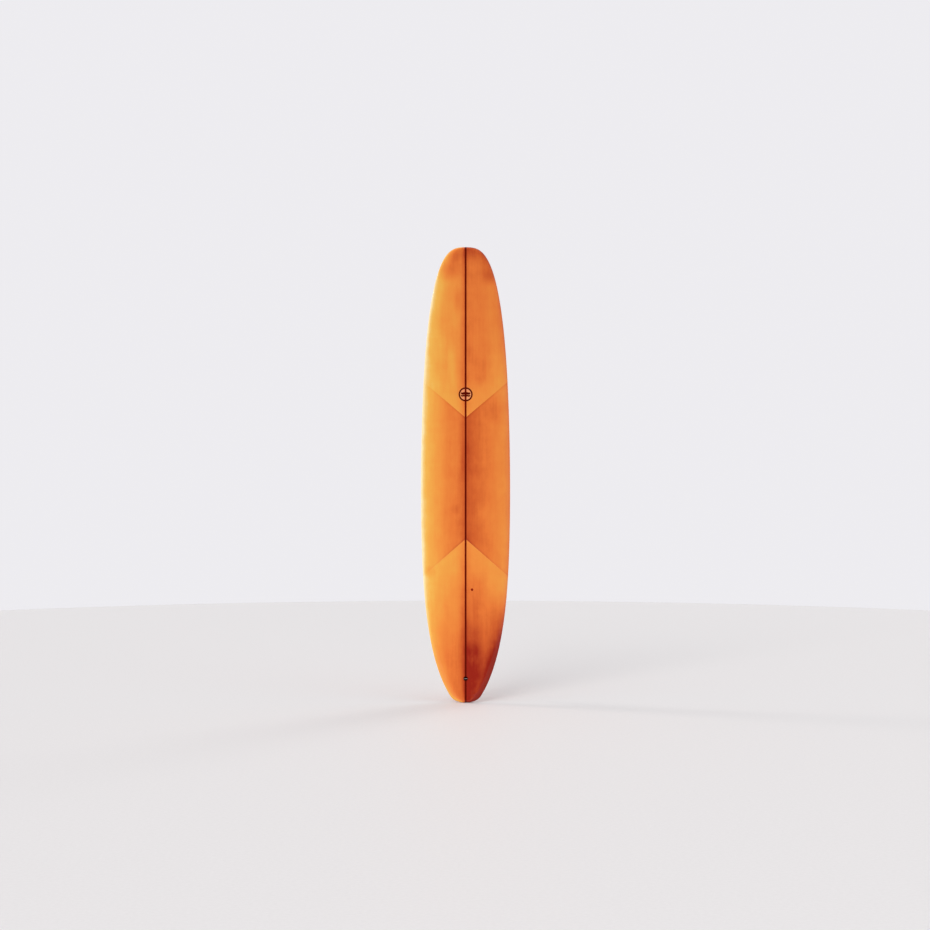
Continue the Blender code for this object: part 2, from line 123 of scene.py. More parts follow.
SCREW_HEAD = 0.0042
SCREW_HEAD_HEIGHT = 0.002
SCREW_LENGTH = 0.0153
PLATE_LENGTH = 0.012
PLATE_THICKNESS = 0.003
GAP = 0.0003

# --- Finer shapes than the CAD model's ---

FIT = 0.00015  # between a fitting and the resin round it
POCKET = (-0.03, 0.02)  # the cutters' reach, from under the resin to over it
ROW_STEP = 0.010  # between the skins' rows, along the board
CROWDING = [0.03 * (k / 14) ** 3 for k in range(14)]  # rows this far from where an outline closes
HALF_COLUMNS = 44  # of the deck's skins, on each side of the stringer
LAP_COLUMNS = np.array([0, 0.02, 0.05, 0.1, 0.18, 0.28, 0.4, 0.54, 0.68, 0.82, 0.92])  # lap line to rail
BOTTOM_COLUMNS = 27  # from the rail to the bottom's middle
GLASS_DEPTH = LAMINATE * 0.8  # clear of the foam
THIN_HULL = 0.02  # the bottom's glass thins where the hull is thinner than this
NORMAL_STEP = 0.0008
NO_WIDTH, NO_AREA = 1e-9, 1e-12
MERGE, DEGENERATE = 2e-6, 1e-8
SHARP, BLOCK_SHARP, CARVED_SHARP, BLADE_SHARP = 40, 25, 35, 60
FILLET_REACH = 0.45  # at most this share of an edge
CUTTER_EDGE = 0.0001
RIPPLE = 0.00008
DECK_WAVES = (23, 3, 9, 1.3)  # radians a metre across, lean, radians a metre along, start
BOTTOM_WAVES = (17, -2, 8, 0.6)
DECK_EASE = 0.3  # the deck's relief comes in over this much of the angle's cosine
STRINGER_RIDGE, RIDGE_HALF = 0.00012, 0.009
LAP_RIDGE = 0.00035
LAP_RISE, LAP_FADE = 0.001, 0.025
PATCH_RISE = 0.00055
PATCH_EDGE_RISE = 0.00012
PATCH_BOTTOM = 0.00004
PATCH_FEATHER = 0.003
PATCH_RAIL_SHARE = 0.9915  # the patch ends at this share of the half width
RAIL_STEEPNESS = 6  # of its end at the rail, to that of its V-shaped ends
PATCH_EDGE_ROWS = np.array([0, 0.0006, 0.0015, 0.003, 0.0045])
PATCH_ROWS = np.linspace(0.012, 0.988, 98)
DENT_SEED, DENT_COUNT = 11, 34
DENT_ACROSS = 0.17
DENT_ALONG = (0.45, 2.35, 1.15)  # lowest, highest, likeliest
DENT_RADII, DENT_DEPTHS = (0.018, 0.04), (0.0002, 0.0006)
DENT_TO_BADGE, DENT_TO_VENT = 0.1, 0.08
PAPER_LAYER, INK_LAYER = (0.00004, 0.00022), (0.00023, 0.00034)
EMBLEM_RING, EMBLEM_MARGIN = 0.0103, 0.0004
EMBLEM_WAVES = ((0.0155, 0.0000), (-0.0014, -0.0126))  # each wave's top and bottom
WAVE_HALF_SPAN = 0.0305
WAVE_CRESTS = 1.5  # on each side of the middle
WAVE_TOP_CREST, WAVE_LOW_CREST = 0.0035, 0.0020
WAVE_TAPER = 9
THREAD_DEPTH = 0.00022
FIN_PITCH, VENT_PITCH = 0.0008, 0.00125
VENT_THREAD_END, VENT_SCREW_END = -0.0103, -0.0109
CUT_REACH = 1.2  # times the head's radius
CUT_DEPTH = 0.001
BLADE_RINGS = 44
BLADE_TAPER, TAPER_POWER = 0.62, 1.1
TIP_POWER = 9
RAKE_POWER = 1.7
BLADE_THINNING = 0.6
FOIL_POWER, FOIL_LEAD = 0.8, 0.2
HOLE_REACH, BORE_REACH, BORE_GAP = 0.01, 0.02, 0.0001

# --- Floor, light and camera ---

FLOOR_RADIUS, FLOOR_SIDES, FLOOR_RINGS = 9.0, 128, (1.0, 0.5, 0.1)
FRONT_LIGHT = (0.03, 0.03, 0.03, 1)
ROOM_LIGHT = (0.95, 0.95, 0.97, 1)
BACK_LIGHT = (0.42, 0.42, 0.44, 1)
STRIP_LIGHT = (2.2, 2.2, 2.15, 1)
BACKDROP = (0.85, 0.84, 0.87, 1)
# Where one light of the room eases into the next: a direction's Y, or its distance from the strip's middle
FRONT_TO_ROOM, ROOM_TO_BACK, STRIP_BEHIND = (-0.94, -0.55, 0, 1), (0.0, 0.7, 0, 1), (0.1, 0.3, 0, 1)
STRIP_ACROSS, STRIP_EDGE = (0.8, -0.6), (0.17, 0.07, 0, 1)
# Name, direction, strength, angle, colour, and whether it has a highlight of its own
SUNS = [
    ("key", (-0.35, -0.85, 0.45), 1.4, 30, (1.0, 0.98, 0.95), False),
    ("rim", (-0.9, 0.35, 0.25), 1.1, 12, (1.0, 0.94, 0.88), True),
]
CAMERA_PLACE = (-0.004, -12.0, 1.5128)
CAMERA_LENS, CAMERA_SENSOR = 72.93, 36

# --- The hull's surface ---


def half_width(z):
    """Half the outline's width at heights above the tail tip."""
    nose = 1 - np.maximum(0, 1 - (LENGTH - z) / NOSE_RUN) ** NOSE_POWERS[0]
    tail = 1 - np.maximum(0, (TAIL_RUN - z) / (TAIL_RUN + TAIL_OVERRUN)) ** TAIL_POWERS[0]
    corner = 1 - np.maximum(0, 1 - z / CORNER_RUN) ** CORNER_POWER
    nose, tail, corner = (np.clip(part, 0, 1) for part in (nose, tail, corner))
    closed = nose ** (1 / NOSE_POWERS[1]), tail ** (1 / TAIL_POWERS[1]), corner ** (1 / CORNER_POWER)
    return WIDTH / 2 * closed[0] * closed[1] * closed[2]


def rail_line(z):
    """The rail line's Y at heights above the tail tip."""
    reach = (z - MIDDLE) / MIDDLE
    rise = np.where(reach < 0, TAIL_ROCKER, NOSE_ROCKER)
    return TAIL_ROCKER - rise * np.abs(reach) ** ROCKER_POWER


def thickness(z):
    """The hull's thickness at heights above the tail tip."""
    reach = np.abs(z - MIDDLE) / MIDDLE
    foil = THICKNESS * (1 - TIP_THINNING * reach**THINNING_POWER)
    to_tip = np.clip(np.minimum(z, LENGTH - z), 0, END_ROUND)
    return foil * np.sqrt(1 - (1 - to_tip / END_ROUND) ** 2)


def lap_half(z):
    """Half the width inside the lap line; 0 past the lap's ends."""
    scale = 1 - 2 * LAP / LENGTH
    inside = (z > LAP) & (z < LENGTH - LAP)
    return np.where(inside, half_width(np.clip((z - LAP) / scale, 0, LENGTH)) * (1 - 2 * LAP / WIDTH), 0)


def section_point(turn, z):
    """The hull's surface at angles round its section: 0 is the deck's middle, pi the bottom's."""
    across, out = np.sin(turn), np.cos(turn)
    deck = out >= 0
    wide = np.where(deck, 2 / DECK_POWERS[0], 2 / BOTTOM_POWERS[0])
    deep = np.where(deck, 2 / DECK_POWERS[1], 2 / BOTTOM_POWERS[1])
    share = np.where(deck, DECK_SHARE, 1 - DECK_SHARE)
    x = half_width(z) * np.sign(across) * np.abs(across) ** wide
    y = rail_line(z) - thickness(z) * share * np.sign(out) * np.abs(out) ** deep
    return np.stack([x, y, z + 0 * turn], axis=-1)


def section_normal(turn, z):
    """Directions straight out of the hull at the same points."""
    around = section_point(turn + NORMAL_STEP, z) - section_point(turn - NORMAL_STEP, z)
    low, high = np.clip(z - NORMAL_STEP, 0, LENGTH), np.clip(z + NORMAL_STEP, 0, LENGTH)
    out = np.cross(around, section_point(turn, high) - section_point(turn, low))
    size = np.linalg.norm(out, axis=-1, keepdims=True)
    tip = np.zeros_like(out)
    tip[..., 2] = np.where(z > MIDDLE, 1.0, -1.0)
    return np.where(size > NO_AREA, out / np.maximum(size, NO_AREA), tip)


def make_dents():
    """Shallow heel and knee dents, as (x, z, radius, depth)."""
    chance = random.Random(DENT_SEED)
    dents = []
    while len(dents) < DENT_COUNT:
        x, z = chance.uniform(-DENT_ACROSS, DENT_ACROSS), chance.triangular(*DENT_ALONG)
        radius, depth = chance.uniform(*DENT_RADII), chance.uniform(*DENT_DEPTHS)
        clear_of_badge = math.hypot(x, z - BADGE_HEIGHT) > DENT_TO_BADGE
        clear_of_vent = math.hypot(x - VENT_ACROSS, z - VENT_HEIGHT) > DENT_TO_VENT
        if clear_of_badge and clear_of_vent:
            dents.append((x, z, radius, depth))
    return dents


DENTS = make_dents()


def ripple(x, z, across, lean, along, start):
    """Long shallow waves of the glass."""
    return RIPPLE * np.sin(across * x + lean * z) * np.sin(along * z + start)


def deck_rise(x, z):
    """How far the glassed deck stands off the hull's surface."""
    rise = ripple(x, z, *DECK_WAVES)
    rise = rise + STRINGER_RIDGE * np.exp(-((x / RIDGE_HALF) ** 4))
    for dent_x, dent_z, radius, depth in DENTS:
        rise = rise - depth * np.exp(-2 * ((x - dent_x) ** 2 + (z - dent_z) ** 2) / radius**2)
    past_lap = np.maximum(np.abs(x) - lap_half(z), 0)
    return rise + LAP_RIDGE * (1 - np.exp(-past_lap / LAP_RISE)) * np.exp(-past_lap / LAP_FADE)


def deck_turn(x, z):
    """The section's angle at the deck's points, for x that isn't negative."""
    share = np.clip(x / np.maximum(half_width(z), NO_WIDTH), 0, 1)
    return np.arcsin(share ** (DECK_POWERS[0] / 2))


def on_deck(x, z, lift=0.0):
    """Points on the glassed deck, or lifted off it."""
    x, z = np.broadcast_arrays(np.asarray(x, float), np.asarray(z, float))
    turn = np.sign(x) * deck_turn(np.abs(x), z)
    out = section_normal(turn, z)
    return section_point(turn, z) + out * (deck_rise(x, z) + lift)[..., None]


def spread(count):
    """Shares from -1 to 1, close together towards both ends."""
    return np.sin(np.linspace(-1, 1, 2 * count + 1) * math.pi / 2)


def rows_between(low, high, crowd_low, crowd_high):
    """Heights for a skin's rows, crowded where its outline closes."""
    start = [low + d for d in CROWDING] if crowd_low else [low]
    end = [high - d for d in reversed(CROWDING)] if crowd_high else [high]
    first, last = start[-1] + ROW_STEP, end[0] - ROW_STEP
    between = np.linspace(first, last, max(2, round((last - first) / ROW_STEP) + 1))
    return np.array([*start, *between, *end])


# --- Mesh helpers ---


def new_object(name, data, place=Matrix()):
    obj = bpy.data.objects.new(name, data)
    bpy.context.scene.collection.objects.link(obj)
    obj.matrix_world = place
    return obj


def piece(name, mesh, body, node, material, place=Matrix()):
    """A visible piece that rides on a body and stands for a CAD node."""
    mesh.name = name
    mesh.materials.clear()
    mesh.materials.append(material)
    obj = new_object(name, mesh, place)
    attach(obj, body)
    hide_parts(node)


def tidy_mesh(bm, sharp_angle=SHARP):
    """A mesh from bm, with no doubles or strays and its normals outward."""
    bmesh.ops.remove_doubles(bm, verts=bm.verts, dist=MERGE)
    bmesh.ops.dissolve_degenerate(bm, dist=DEGENERATE, edges=bm.edges)
    strays = [edge for edge in bm.edges if not edge.link_faces]
    bmesh.ops.delete(bm, geom=strays, context="EDGES")
    bmesh.ops.recalc_face_normals(bm, faces=bm.faces)
    mesh = bpy.data.meshes.new("mesh")
    bm.to_mesh(mesh)
    bm.free()
    mesh.shade_smooth()
    mesh.set_sharp_from_angle(angle=math.radians(sharp_angle))
    return mesh


def skin_mesh(outer, inner, side_walls=None, end_walls=True):
    """A closed skin between two like grids; side_walls says which rows have walls at the sides."""
    rows, columns = outer.shape[:2]
    count = rows * columns
    number = np.arange(count).reshape(rows, columns)
    a, b, c, d = number[:-1, :-1], number[:-1, 1:], number[1:, 1:], number[1:, :-1]
    top = np.stack([a, b, c, d], axis=-1).reshape(-1, 4)
    faces = [*top.tolist(), *(top[:, ::-1] + count).tolist()]
    if side_walls is None:
        side_walls = np.ones(rows, bool)
    grid = number.tolist()
    walls = [(grid[row][column], grid[row + 1][column]) for column in (0, -1) for row in range(rows - 1)
             if side_walls[row] or side_walls[row + 1]]
    if end_walls:
        walls += [pair for row in (0, -1) for pair in zip(grid[row], grid[row][1:])]
    faces += [(p, q, q + count, p + count) for p, q in walls]
    mesh = bpy.data.meshes.new("skin")
    mesh.from_pydata(np.concatenate([outer.reshape(-1, 3), inner.reshape(-1, 3)]).tolist(), [], faces)
    bm = bmesh.new()
    bm.from_mesh(mesh)
    bpy.data.meshes.remove(mesh)
    return tidy_mesh(bm)


def fillet(points, radius, steps=4, closed=False):
    """A 2-D line with its corners rounded."""
    count = len(points)
    made = []
    for k, point in enumerate(points):
        here = Vector(point)
        if not closed and k in (0, count - 1):
            made.append(here)
            continue
        before, after = Vector(points[k - 1]) - here, Vector(points[(k + 1) % count]) - here
        reach = min(radius, before.length * FILLET_REACH, after.length * FILLET_REACH)
        start, end = here + before.normalized() * reach, here + after.normalized() * reach
        for step in range(steps + 1):
            t = step / steps
            made.append((1 - t) ** 2 * start + 2 * t * (1 - t) * here + t**2 * end)
    return made


def turned_mesh(profile, steps=72, closed=False):
    """A shape turned about Z from (radius, height) points."""
    bm = bmesh.new()
    loops = []
    for radius, height in profile:
        turns = [math.tau * k / steps for k in range(steps)]
        loops.append([bm.verts.new((radius * math.cos(t), radius * math.sin(t), height)) for t in turns])
    pairs = list(zip(loops, loops[1:]))
    if closed:
        pairs.append((loops[-1], loops[0]))
    for first, second in pairs:
        for k in range(steps):
            bm.faces.new((first[k], first[(k + 1) % steps], second[(k + 1) % steps], second[k]))
    return tidy_mesh(bm)


def loft(bm, loops, cap_first=False, cap_last=False):
    """Joins like-numbered points of successive closed loops."""
    made = [[bm.verts.new(point) for point in loop] for loop in loops]
    count = len(made[0])
    for low, high in zip(made, made[1:]):
        for k in range(count):
            bm.faces.new((low[k], low[(k + 1) % count], high[(k + 1) % count], high[k]))
    if cap_first:
        bm.faces.new(made[0])
    if cap_last:
        bm.faces.new(made[-1])
    return made


def block_mesh(outline, low, high, edge):
    """A flat outline between two heights, chamfered round both ends."""
    middle = Vector((sum(p[0] for p in outline), sum(p[1] for p in outline))) / len(outline)
    spread_x = max(abs(p[0] - middle.x) for p in outline)
    spread_y = max(abs(p[1] - middle.y) for p in outline)
    inset_x, inset_y = 1 - edge / spread_x, 1 - edge / spread_y
    inset = [((x - middle.x) * inset_x + middle.x, (y - middle.y) * inset_y + middle.y) for x, y in outline]
    loops = [
        [(x, y, low) for x, y in inset],
        [(x, y, low + edge) for x, y in outline],
        [(x, y, high - edge) for x, y in outline],
        [(x, y, high) for x, y in inset],
    ]
    bm = bmesh.new()
    loft(bm, loops, cap_first=True, cap_last=True)
    return tidy_mesh(bm, BLOCK_SHARP)


def rectangle(half_x, low_y, high_y):
    return [(half_x, low_y), (half_x, high_y), (-half_x, high_y), (-half_x, low_y)]


def rod(radius, low, high):
    """The profile of a plain rod, for turned_mesh."""
    return [(0, high), (radius, high), (radius, low), (0, low)]


def thread(radius, start, end, pitch):
    """The profile of a fine thread from start down to end."""
    first, rise, runout = 0.6, 0.4, 0.3  # shares of the pitch
    turns = int((start - end - pitch) / pitch)
    points = []
    for k in range(turns):
        height = start - pitch * (k + first)
        points += [(radius - THREAD_DEPTH, height), (radius, height - pitch * rise)]
    points += [(radius - THREAD_DEPTH, end + pitch * runout), (radius - THREAD_DEPTH * 2, end)]
    return [Vector(point) for point in points]


def carve(mesh, *cutters):
    """The mesh less some cutters, each a mesh and its place."""
    obj = new_object("carved", mesh)
    tools = [new_object("cutter", *cutter) for cutter in cutters]
    for tool in tools:
        modifier = obj.modifiers.new("Cut", "BOOLEAN")
        modifier.operation = "DIFFERENCE"
        modifier.solver = "EXACT"
        modifier.object = tool
    bpy.context.view_layer.update()
    made = bpy.data.meshes.new_from_object(obj.evaluated_get(bpy.context.evaluated_depsgraph_get()))
    for used in (obj, *tools):
        bpy.data.objects.remove(used)
    made.shade_smooth()
    made.set_sharp_from_angle(angle=math.radians(CARVED_SHARP))
    return made


def slotted(screw, radius, half_slot, head, top):
    """The screw with a driver's slot across its head."""
    outline = rectangle(radius * CUT_REACH, -half_slot, half_slot)
    return carve(screw, (block_mesh(outline, head - CUT_DEPTH, top, CUTTER_EDGE), Matrix()))


def seat(x, z, side, lift):
    """A place on the hull: Z straight out of it, Y towards the nose."""

    def surface(x, z):
        share, powers = (DECK_SHARE, DECK_POWERS) if side < 0 else (1 - DECK_SHARE, BOTTOM_POWERS)
        out = (1 - abs(x / half_width(z)) ** powers[0]) ** (1 / powers[1])
        return Vector((x, rail_line(z) + side * thickness(z) * share * out, z))

    step = 0.01
    toward_nose = surface(x, z + step) - surface(x, z - step)
    across = surface(x + step, z) - surface(x - step, z)
    out = side * toward_nose.cross(across).normalized()
    forward = (toward_nose - out * toward_nose.dot(out)).normalized()
    turn = Matrix((forward.cross(out), forward, out)).transposed().to_4x4()
    return Matrix.Translation(surface(x, z) + out * lift) @ turn


def at(place, y=0.0, z=0.0):
    return place @ Matrix.Translation((0.0, y, z))


# --- Materials ---


class Nodes:
    """Short ways to add shader nodes to a tree."""

    def __init__(self, tree, coordinates):
        self.tree = tree
        self.place = self.add("TexCoord").outputs[coordinates]
        self.x, self.y, self.z = self.add("SeparateXYZ", Vector=self.place).outputs

    def add(self, kind, settings=None, **inputs):
        node = self.tree.nodes.new("ShaderNode" + kind)
        for name, value in (settings or {}).items():
            setattr(node, name, value)
        for name, value in inputs.items():
            self.feed(node.inputs[name.replace("_", " ")], value)
        return node

    def feed(self, socket, value):
        if isinstance(value, bpy.types.NodeSocket):
            self.tree.links.new(value, socket)
        else:
            socket.default_value = value

    def math(self, operation, *values):
        node = self.add("Math", {"operation": operation})
        for socket, value in zip(node.inputs, values):
            self.feed(socket, value)
        return node.outputs[0]

    def times(self, first, second):
        return self.math("MULTIPLY", first, second)

    def total(self, first, *values):
        for value in values:
            first = self.math("ADD", first, value)
        return first

    def ramp(self, value, start, end, low, high):
        """Eases from low at start to high at end."""
        reach = {"From_Min": start, "From_Max": end, "To_Min": low, "To_Max": high}
        node = self.add("MapRange", {"interpolation_type": "SMOOTHSTEP"}, Value=value, **reach)
        return node.outputs["Result"]

    def curve(self, value, points):
        """A smooth curve through (place, height) points, both from 0 to 1."""
        node = self.add("FloatCurve", Value=value)
        line = node.mapping.curves[0]
        line.points[0].location, line.points[-1].location = points[0], points[-1]
        for point in points[1:-1]:
            line.points.new(*point)
        node.mapping.update()
        return node.outputs["Value"]

    def noise(self, cells, detail=3.0, roughness=0.5, offset=0.0):
        """Noise from 0 to 1, with this many cells a metre along each axis."""
        mapped = self.add("Mapping", Vector=self.place, Scale=cells, Location=(offset, offset, offset))
        node = self.add("TexNoise", Vector=mapped.outputs[0], Scale=1.0, Detail=detail, Roughness=roughness)
        return node.outputs["Fac"]

    def span(self, value, low, width):
        """A value from 0 to 1 as one from low to low + width."""
        return self.math("MULTIPLY_ADD", value, width, low)

    def colours(self, value, stops):
        """A colour ramp with (place, linear colour) stops."""
        node = self.add("ValToRGB", Fac=value)
        line = node.color_ramp
        line.elements[0].position, line.elements[1].position = stops[0][0], stops[-1][0]
        for place, _ in stops[1:-1]:
            line.elements.new(place)
        for element, (_, colour) in zip(line.elements, stops):
            element.color = (*colour, 1.0)
        return node.outputs["Color"]

    def mix(self, factor, first, second):
        """From the first colour to the second as the factor goes from 0 to 1."""
        node = self.add("Mix", {"data_type": "RGBA"})
        for socket, value in zip((node.inputs[0], node.inputs[6], node.inputs[7]), (factor, first, second)):
            self.feed(socket, value)
        return node.outputs[2]


class Shader(Nodes):
    """A material with one Principled shader."""

    def __init__(self, name, roughness, metallic=0.0, coat=0.0, coat_roughness=0.05, specular=0.5):
        self.material = bpy.data.materials.new(name)
        self.material.use_nodes = True
        super().__init__(self.material.node_tree, "Object")
        self.shader = self.tree.nodes["Principled BSDF"]
        self.set("Roughness", roughness)
        self.set("Metallic", metallic)
        self.set("Coat Weight", coat)
        self.set("Coat Roughness", coat_roughness)
        self.set("Coat IOR", 1.38)
        self.set("Specular IOR Level", specular)

    def set(self, name, value):
        self.feed(self.shader.inputs[name], value)

    def paint(self, value, stops, rough_by, low, width):
        """Colour by one value, and roughness by another, from low to low + width."""
        self.set("Base Color", self.colours(value, stops))
        self.set("Roughness", self.span(rough_by, low, width))

    def bump(self, height, distance, strength=0.5, socket="Normal"):
        """Fine relief on the surface or on its coat."""
        node = self.add("Bump", Height=height, Distance=distance, Strength=strength)
        self.set(socket, node.outputs["Normal"])

    def weave(self, across, threads):
        """The relief of cloth, its threads along Z and one other axis."""
        waves = (self.add("TexWave", {"bands_direction": axis}, Vector=self.place, Scale=threads)
                 for axis in (across, "Z"))
        self.bump(self.math("MAXIMUM", *(wave.outputs["Fac"] for wave in waves)), 0.00002)


def srgb(red, green, blue):
    """Linear colour of an 8-bit one."""
    return tuple(((c / 255 + 0.055) / 1.055) ** 2.4 if c > 10 else c / 3294.6 for c in (red, green, blue))


# Colours of the pigmented resin, from its thinnest to its deepest tint; the palest stop also serves as a
# painted highlight along the -X rail, and the deepest stops mostly as painted shade at the tail's +X side
RESIN_STOPS = [
    (0.00, srgb(250, 225, 172)), (0.1, srgb(243, 202, 122)), (0.2, srgb(243, 183, 84)),
    (0.32, srgb(242, 166, 74)), (0.48, srgb(241, 146, 66)), (0.64, srgb(233, 124, 57)),
    (0.76, srgb(213, 100, 46)), (0.88, srgb(188, 74, 36)), (1.00, srgb(153, 37, 22)),
]
# Dark red of painted shade, mixed over the deck's +X rail near the tail
PAINTED_SHADE_RED = (*srgb(142, 28, 0), 1)
PAPER_VEIL = (*srgb(250, 206, 176), 1)
# Depth of the tint, with painted light in it, across the board and of what the patch adds, from the -X rail
# to the +X rail
# The first curve paints light: paler towards the -X rail as a painted highlight, deeper over the +X half as
# painted shade
TINT_AND_LIGHT_ACROSS = [(0, 0.00), (0.012, 0.03), (0.04, 0.15), (0.08, 0.23), (0.12, 0.28), (0.2, 0.4), (0.29, 0.44),
               (0.38, 0.47), (0.45, 0.6), (0.485, 0.66), (0.515, 0.65), (0.55, 0.64), (0.62, 0.63),
               (0.71, 0.63), (0.8, 0.6), (0.88, 0.59), (0.94, 0.6), (0.98, 0.66), (1, 0.72)]
PATCH_ACROSS = [(0, 0.1), (0.03, 0.1), (0.1, 0.13), (0.2, 0.13), (0.3, 0.25), (0.4, 0.25), (0.485, 0.2),
                (0.515, 0.25), (0.6, 0.22), (0.7, 0.15), (0.8, 0.12), (0.88, 0.06), (0.94, 0.02), (1, 0.04)]
PATCH_BASE = 0.10  # the patch curve's height where it adds nothing
# Changes of the tint from place to place, several of them painted shade: from, to, value at from, value at
# to
BEYOND_STRINGER = (-0.006, 0.006, 0.0, 1.0)
# Painted shade: the tint deepens close beside the stringer on both sides
STRINGER_SHADE = (STRINGER / 2, 0.04, 0.04, 0.0)
OFF_STRINGER = (STRINGER / 2 - 0.0006, STRINGER / 2 + 0.0006, 1.0, 0.0)
TO_NOSE, TO_TAIL = (2.64, 2.89, 0.0, 0.23), (0.8, 0.16, 0.0, 1.0)
# Painted shade at the +X rail near the tail
TAIL_RAIL_SHADE_DOWN, TAIL_RAIL_SHADE_OUT = (0.56, 0.28, 0.0, 0.14), (0.6, 0.95, 0.0, 1.0)
# Where that painted shade's dark red comes in: down towards the tail, and out towards the +X rail
SHADE_RED_DOWN, SHADE_RED_OUT = (0.4, 0.24, 0.0, 1.0), (0.7, 0.95, 0.0, 1.0)
LEFT_RAIL_FADE = (-0.98, -0.5, 0.12, 1.0)
PATCH_LINE, TO_PATCH = (0.003, 0.02, 0.06, 0.0), (-0.3, 0.0, 0.0, 1.0)
# The bottom behind the rail line, and painted shade deepening the bottom towards both rails
UNDER_RAIL, BOTTOM_RAIL_SHADE = (0.0, 0.012, 0.0, 1.0), (0.55, 1.0, 0.0, 0.14)
# Values on the -X side of the stringer, and what the +X side has more; at the tail the +X side's extra is
# painted shade
TAIL_DEPTH_AND_SHADE, PATCH_THINNING = (0.25, 0.11), (0.11, 0.06)
BOTTOM_TINT, BOTTOM_TAIL, BOTTOM_CLOUDS = 0.58, 0.6, 1.4
# Unevenness of the tint: cells a metre along each axis, detail, offset, amount
CLOUDS = [((64, 4, 2.6), 3.0, 0.0, 0.045), ((9, 4, 26), 3.0, 3.0, 0.03), ((16, 9, 8), 4.0, 7.0, 0.1)]
# Stains in the tint: x, z, radius, depth
STAINS = [
    (-0.1, 2.75, 0.075, 0.17), (-0.07, 2.84, 0.05, 0.1), (0.04, 2.79, 0.07, -0.13),
    (0.146, 2.712, 0.055, 0.12), (0.09, 2.06, 0.045, 0.08), (0.19, 1.86, 0.085, 0.09),
    (0.045, 1.61, 0.075, 0.05), (-0.067, 1.235, 0.04, 0.06), (0.105, 1.19, 0.085, -0.06),
    (0.205, 0.7, 0.11, -0.06), (-0.225, 0.83, 0.04, 0.12), (0.05, 0.33, 0.06, 0.07),
]
# Long stains along the board: x, z, radius across, depth
STREAKS = [
    (-0.09, 2.17, 0.03, -0.13), (-0.052, 2.57, 0.024, 0.12), (-0.15, 2.25, 0.03, -0.07),
    (0.19, 2.24, 0.035, -0.08), (0.12, 2.13, 0.02, 0.06), (-0.155, 0.59, 0.03, -0.07),
    (0.125, 0.44, 0.052, -0.08), (-0.02, 1.5, 0.02, 0.06),
]
STREAK_STRETCH = 4.5
STAIN_CORE, STAIN_REACH = 0.1, 1.3  # times its radius
NARROWEST = 0.02  # half width for the tint's places at the tips
RAIL_CURVE_LOW, RAIL_CURVE_SPAN = TAIL_ROCKER - NOSE_ROCKER, NOSE_ROCKER
# Colours of the other materials, by the noise that spreads them
STRINGER_STOPS = [(0.3, srgb(82, 4, 0)), (0.7, srgb(116, 18, 0))]
INK_STOPS = [(0.25, srgb(70, 6, 0)), (0.72, srgb(98, 14, 0)), (0.86, srgb(130, 42, 4))]
STEEL_STOPS = [(0.3, (0.58, 0.57, 0.55)), (0.7, (0.82, 0.8, 0.77))]
FOAM_STOPS = [(0.3, (0.8, 0.73, 0.57)), (0.7, (0.88, 0.83, 0.71))]
WOOD_STOPS = [(0.25, (0.045, 0.008, 0.004)), (0.75, (0.16, 0.035, 0.014))]
FIN_STOPS = [(0.2, srgb(238, 158, 78)), (0.5, srgb(224, 128, 56)), (0.8, srgb(196, 92, 38))]
RUBBER_STOPS = [(0.3, (0.012, 0.012, 0.012)), (0.7, (0.035, 0.033, 0.032))]
FLOOR_STOPS = [(0.3, (0.74, 0.725, 0.73)), (0.7, (0.77, 0.755, 0.76))]
CUP_COLOURS = (srgb(84, 12, 4), srgb(46, 6, 2))
VENT_COLOURS = (srgb(198, 78, 26), srgb(174, 56, 16))
VENT_PLUG_COLOURS = (srgb(158, 34, 6), srgb(122, 18, 2))
BOX_COLOURS = ((0.05, 0.05, 0.05), (0.016, 0.016, 0.017))


def along_board(curve, count):
    """A curve's values up the board, as (share of the length, value)."""
    return [(k / count, float(curve(np.array(k / count * LENGTH)))) for k in range(count + 1)]


def share_across(s, share):
    """How far across the board a point is, from -1 at the -X rail to 1."""
    width = [(h, half / (WIDTH / 2)) for h, half in along_board(half_width, 24)]
    half = s.math("MAXIMUM", s.times(s.curve(share, width), WIDTH / 2), NARROWEST)
    return s.math("DIVIDE", s.x, half)


def behind_rail(s, share):
    """1 on the bottom, behind the rail line, and 0 on the deck."""
    line = [(h, (y - RAIL_CURVE_LOW) / RAIL_CURVE_SPAN) for h, y in along_board(rail_line, 16)]
    rail = s.span(s.curve(share, line), RAIL_CURVE_LOW, RAIL_CURVE_SPAN)
    return s.ramp(s.math("SUBTRACT", s.y, rail), *UNDER_RAIL)


def stained(s, tint):
    """The tint with its round stains and long streaks."""
    for stains, stretch in ((STAINS, 1.0), (STREAKS, STREAK_STRETCH)):
        flat = s.add("CombineXYZ", X=s.x, Z=s.math("DIVIDE", s.z, stretch)).outputs[0]
        for x, z, radius, depth in stains:
            apart = s.add("VectorMath", {"operation": "DISTANCE"})
            s.feed(apart.inputs[0], flat)
            s.feed(apart.inputs[1], (x, 0.0, z / stretch))
            spot = s.ramp(apart.outputs["Value"], STAIN_CORE * radius, STAIN_REACH * radius, depth, 0.0)
            tint = s.math("ADD", tint, spot)
    return tint


def inside_patch(s, from_middle):
    """How far along the board the patch's nearer end is; negative outside it."""
    top_slope = (PATCH_TOP_RAIL - PATCH_TOP_APEX) / (WIDTH / 2)
    low_slope = (PATCH_LOW_RAIL - PATCH_LOW_APEX) / (WIDTH / 2)
    to_top = s.math("SUBTRACT", s.span(from_middle, PATCH_TOP_APEX, top_slope), s.z)
    to_low = s.math("SUBTRACT", s.z, s.span(from_middle, PATCH_LOW_APEX, low_slope))
    return s.math("MINIMUM", to_top, to_low)


